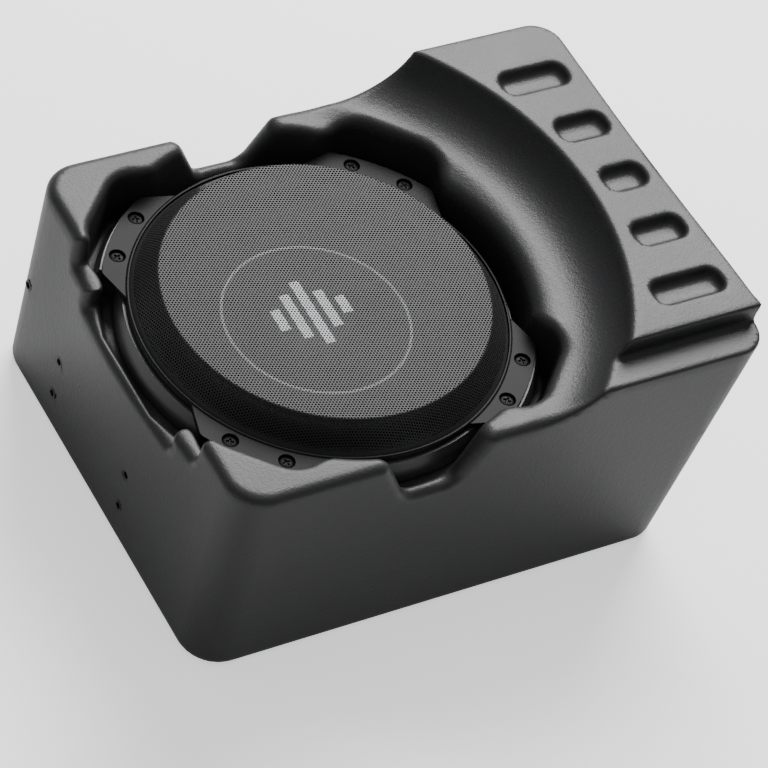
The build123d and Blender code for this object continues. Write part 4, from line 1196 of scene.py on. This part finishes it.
# %% [markdown]
# The trim ring's screws stand in pairs on the four tabs. The amplifier panel has one at each
# corner and one in the middle of each side.

# %% Set the screws
SCREW_TREE = screw_tree()
TURN_EACH = 37.0                            # degrees from one screw's cross to the next's
SCREW_CIRCLE, SCREW_APART = 0.130, 8.0      # the tabs' screws, degrees off each diagonal
TAB_HIGH, SEAT_DROP = 0.004, 0.003
TRIM_HEAD_R, TRIM_HEAD_H, TRIM_SHANK_R = 0.0045, 0.0020, 0.00245
TRIM_ARM, TRIM_CROSS = 0.0024, 0.0010     # the cross: half its length, and its depth
trim_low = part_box("trim_screws")[0]
seat_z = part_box("basket")[1].z + TAB_HIGH - SEAT_DROP
angles = [math.radians(corner + side * SCREW_APART)
          for corner in (45, 135, 225, 315) for side in (-1, 1)]
trim_places = [(AXIS_X * MM + SCREW_CIRCLE * math.cos(a), SCREW_CIRCLE * math.sin(a), seat_z)
               for a in angles]
set_of_screws("trim_screw_set", "trim_screws", trim_places, 0.0,
              screw_mesh(TRIM_HEAD_R, TRIM_HEAD_H, TRIM_SHANK_R, seat_z - trim_low.z,
                         TRIM_ARM, TRIM_CROSS))
amp_low, amp_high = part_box("amp_screws")
AMP_HEAD_R, AMP_HEAD_H, AMP_SHANK_R, AMP_ARM, AMP_CROSS = 0.0038, 0.0022, 0.0017, 0.0020, 0.0009
panel_front = amp_high.y - AMP_HEAD_H
amp_x = (amp_low.x + AMP_HEAD_R, (amp_low.x + amp_high.x) / 2, amp_high.x - AMP_HEAD_R)
amp_z = (amp_low.z + AMP_HEAD_R, (amp_low.z + amp_high.z) / 2, amp_high.z - AMP_HEAD_R)
amp_places = [(x, panel_front, z) for i, x in enumerate(amp_x) for k, z in enumerate(amp_z)
              if (i, k) != (1, 1)]
set_of_screws("amp_screw_set", "amp_screws", amp_places, -math.pi / 2,
              screw_mesh(AMP_HEAD_R, AMP_HEAD_H, AMP_SHANK_R, panel_front - amp_low.y,
                         AMP_ARM, AMP_CROSS))

# %% [markdown]
# ## Inside the box
#
# A short two-core lead runs from the driver's terminals to the amplifier, in a slack curve
# that clears the magnet. A batt of fibre lies on the floor of the box to damp it.


# %% The speaker lead
def smooth_line(knots, per_gap=16):
    """Points on a smooth line through the knots."""
    points = [Vector(k) for k in knots]
    points = [2 * points[0] - points[1]] + points + [2 * points[-1] - points[-2]]
    line = []
    for a, b, c, d in zip(points, points[1:], points[2:], points[3:]):
        for i in range(per_gap):
            t = i / per_gap
            line.append(0.5 * (2 * b + (c - a) * t + (2 * a - 5 * b + 4 * c - d) * t ** 2
                               + (3 * b - a - 3 * c + d) * t ** 3))
    return line + [points[-2]]


LEAD_R = 0.0024
LEAD_ROUTE = [(0.057, 0.0, 0.096), (0.079, 0.0, 0.096), (0.093, 0.022, 0.088),
              (0.089, 0.050, 0.074), (0.077, 0.074, 0.062), (0.069, 0.090, 0.058),
              (0.069, 0.108, 0.058)]
lead_line = smooth_line(LEAD_ROUTE)
lead_curve = bpy.data.curves.new("speaker_lead_line", "CURVE")
lead_curve.dimensions = "3D"
lead_curve.bevel_depth = LEAD_R
lead_curve.bevel_resolution = 5
lead_curve.use_fill_caps = True
spline = lead_curve.splines.new("POLY")
spline.points.add(len(lead_line) - 1)
for point, place in zip(spline.points, lead_line):
    point.co = (*place, 1.0)
lead_curve.materials.append(FINISH["lead_jacket"])
lead = bpy.data.objects.new("speaker_lead_line", lead_curve)
bpy.context.collection.objects.link(lead)
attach(lead, "box")
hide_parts("speaker_lead")


# %% [markdown]
# The batt is a soft block. Its corners are round, and two sizes of noise make its skin lumpy,
# always inwards, so that it never reaches past the space it is given.

# %% The damping fill
FILL_ROUND, FILL_LUMP, LUMPS, TUFTS = 0.012, 0.003, 55.0, 160.0     # metres, and number a metre


def soft_block(name, low, high, radius, lump, cuts=28):
    """A closed block with round edges and a lumpy skin, within its box."""
    work = bmesh.new()
    bmesh.ops.create_cube(work, size=2.0)
    bmesh.ops.subdivide_edges(work, edges=work.edges, cuts=cuts, use_grid_fill=True)
    middle, half = (Vector(low) + Vector(high)) / 2, (Vector(high) - Vector(low)) / 2
    for vertex in work.verts:
        point = Vector([c * h for c, h in zip(vertex.co, half)])
        core = Vector([min(max(c, radius - h), h - radius) for c, h in zip(point, half)])
        away = point - core
        lumps, tufts = space_noise.noise(point * LUMPS), space_noise.noise(point * TUFTS)
        wave = 0.5 + 0.5 * lumps + 0.25 * tufts
        if away.length > 0:
            point = core + away.normalized() * (radius - lump * max(wave, 0.0))
        vertex.co = middle + point
    for face in work.faces:
        face.smooth = True
    mesh = bpy.data.meshes.new(name)
    work.to_mesh(mesh)
    work.free()
    return mesh


fill_low, fill_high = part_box("damping_fill")
fill = link(soft_block("fibre_batt", fill_low, fill_high, FILL_ROUND, FILL_LUMP),
            "fibre_batt")
finish_piece(fill, FINISH["fibre"], replaces=("damping_fill",))

# %% [markdown]
# ## The CAD box and the finished box
#
# We print the box of the CAD model and the box of the finished model side by side, so that
# a maker can compare them after each change.

# %% Sizes and the end
visual_box = [list(corner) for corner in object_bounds()]
for label, box in (("CAD", cad_box), ("finished", visual_box)):
    print(label, "box in mm:", [[round(v / MM, 1) for v in corner] for corner in box])
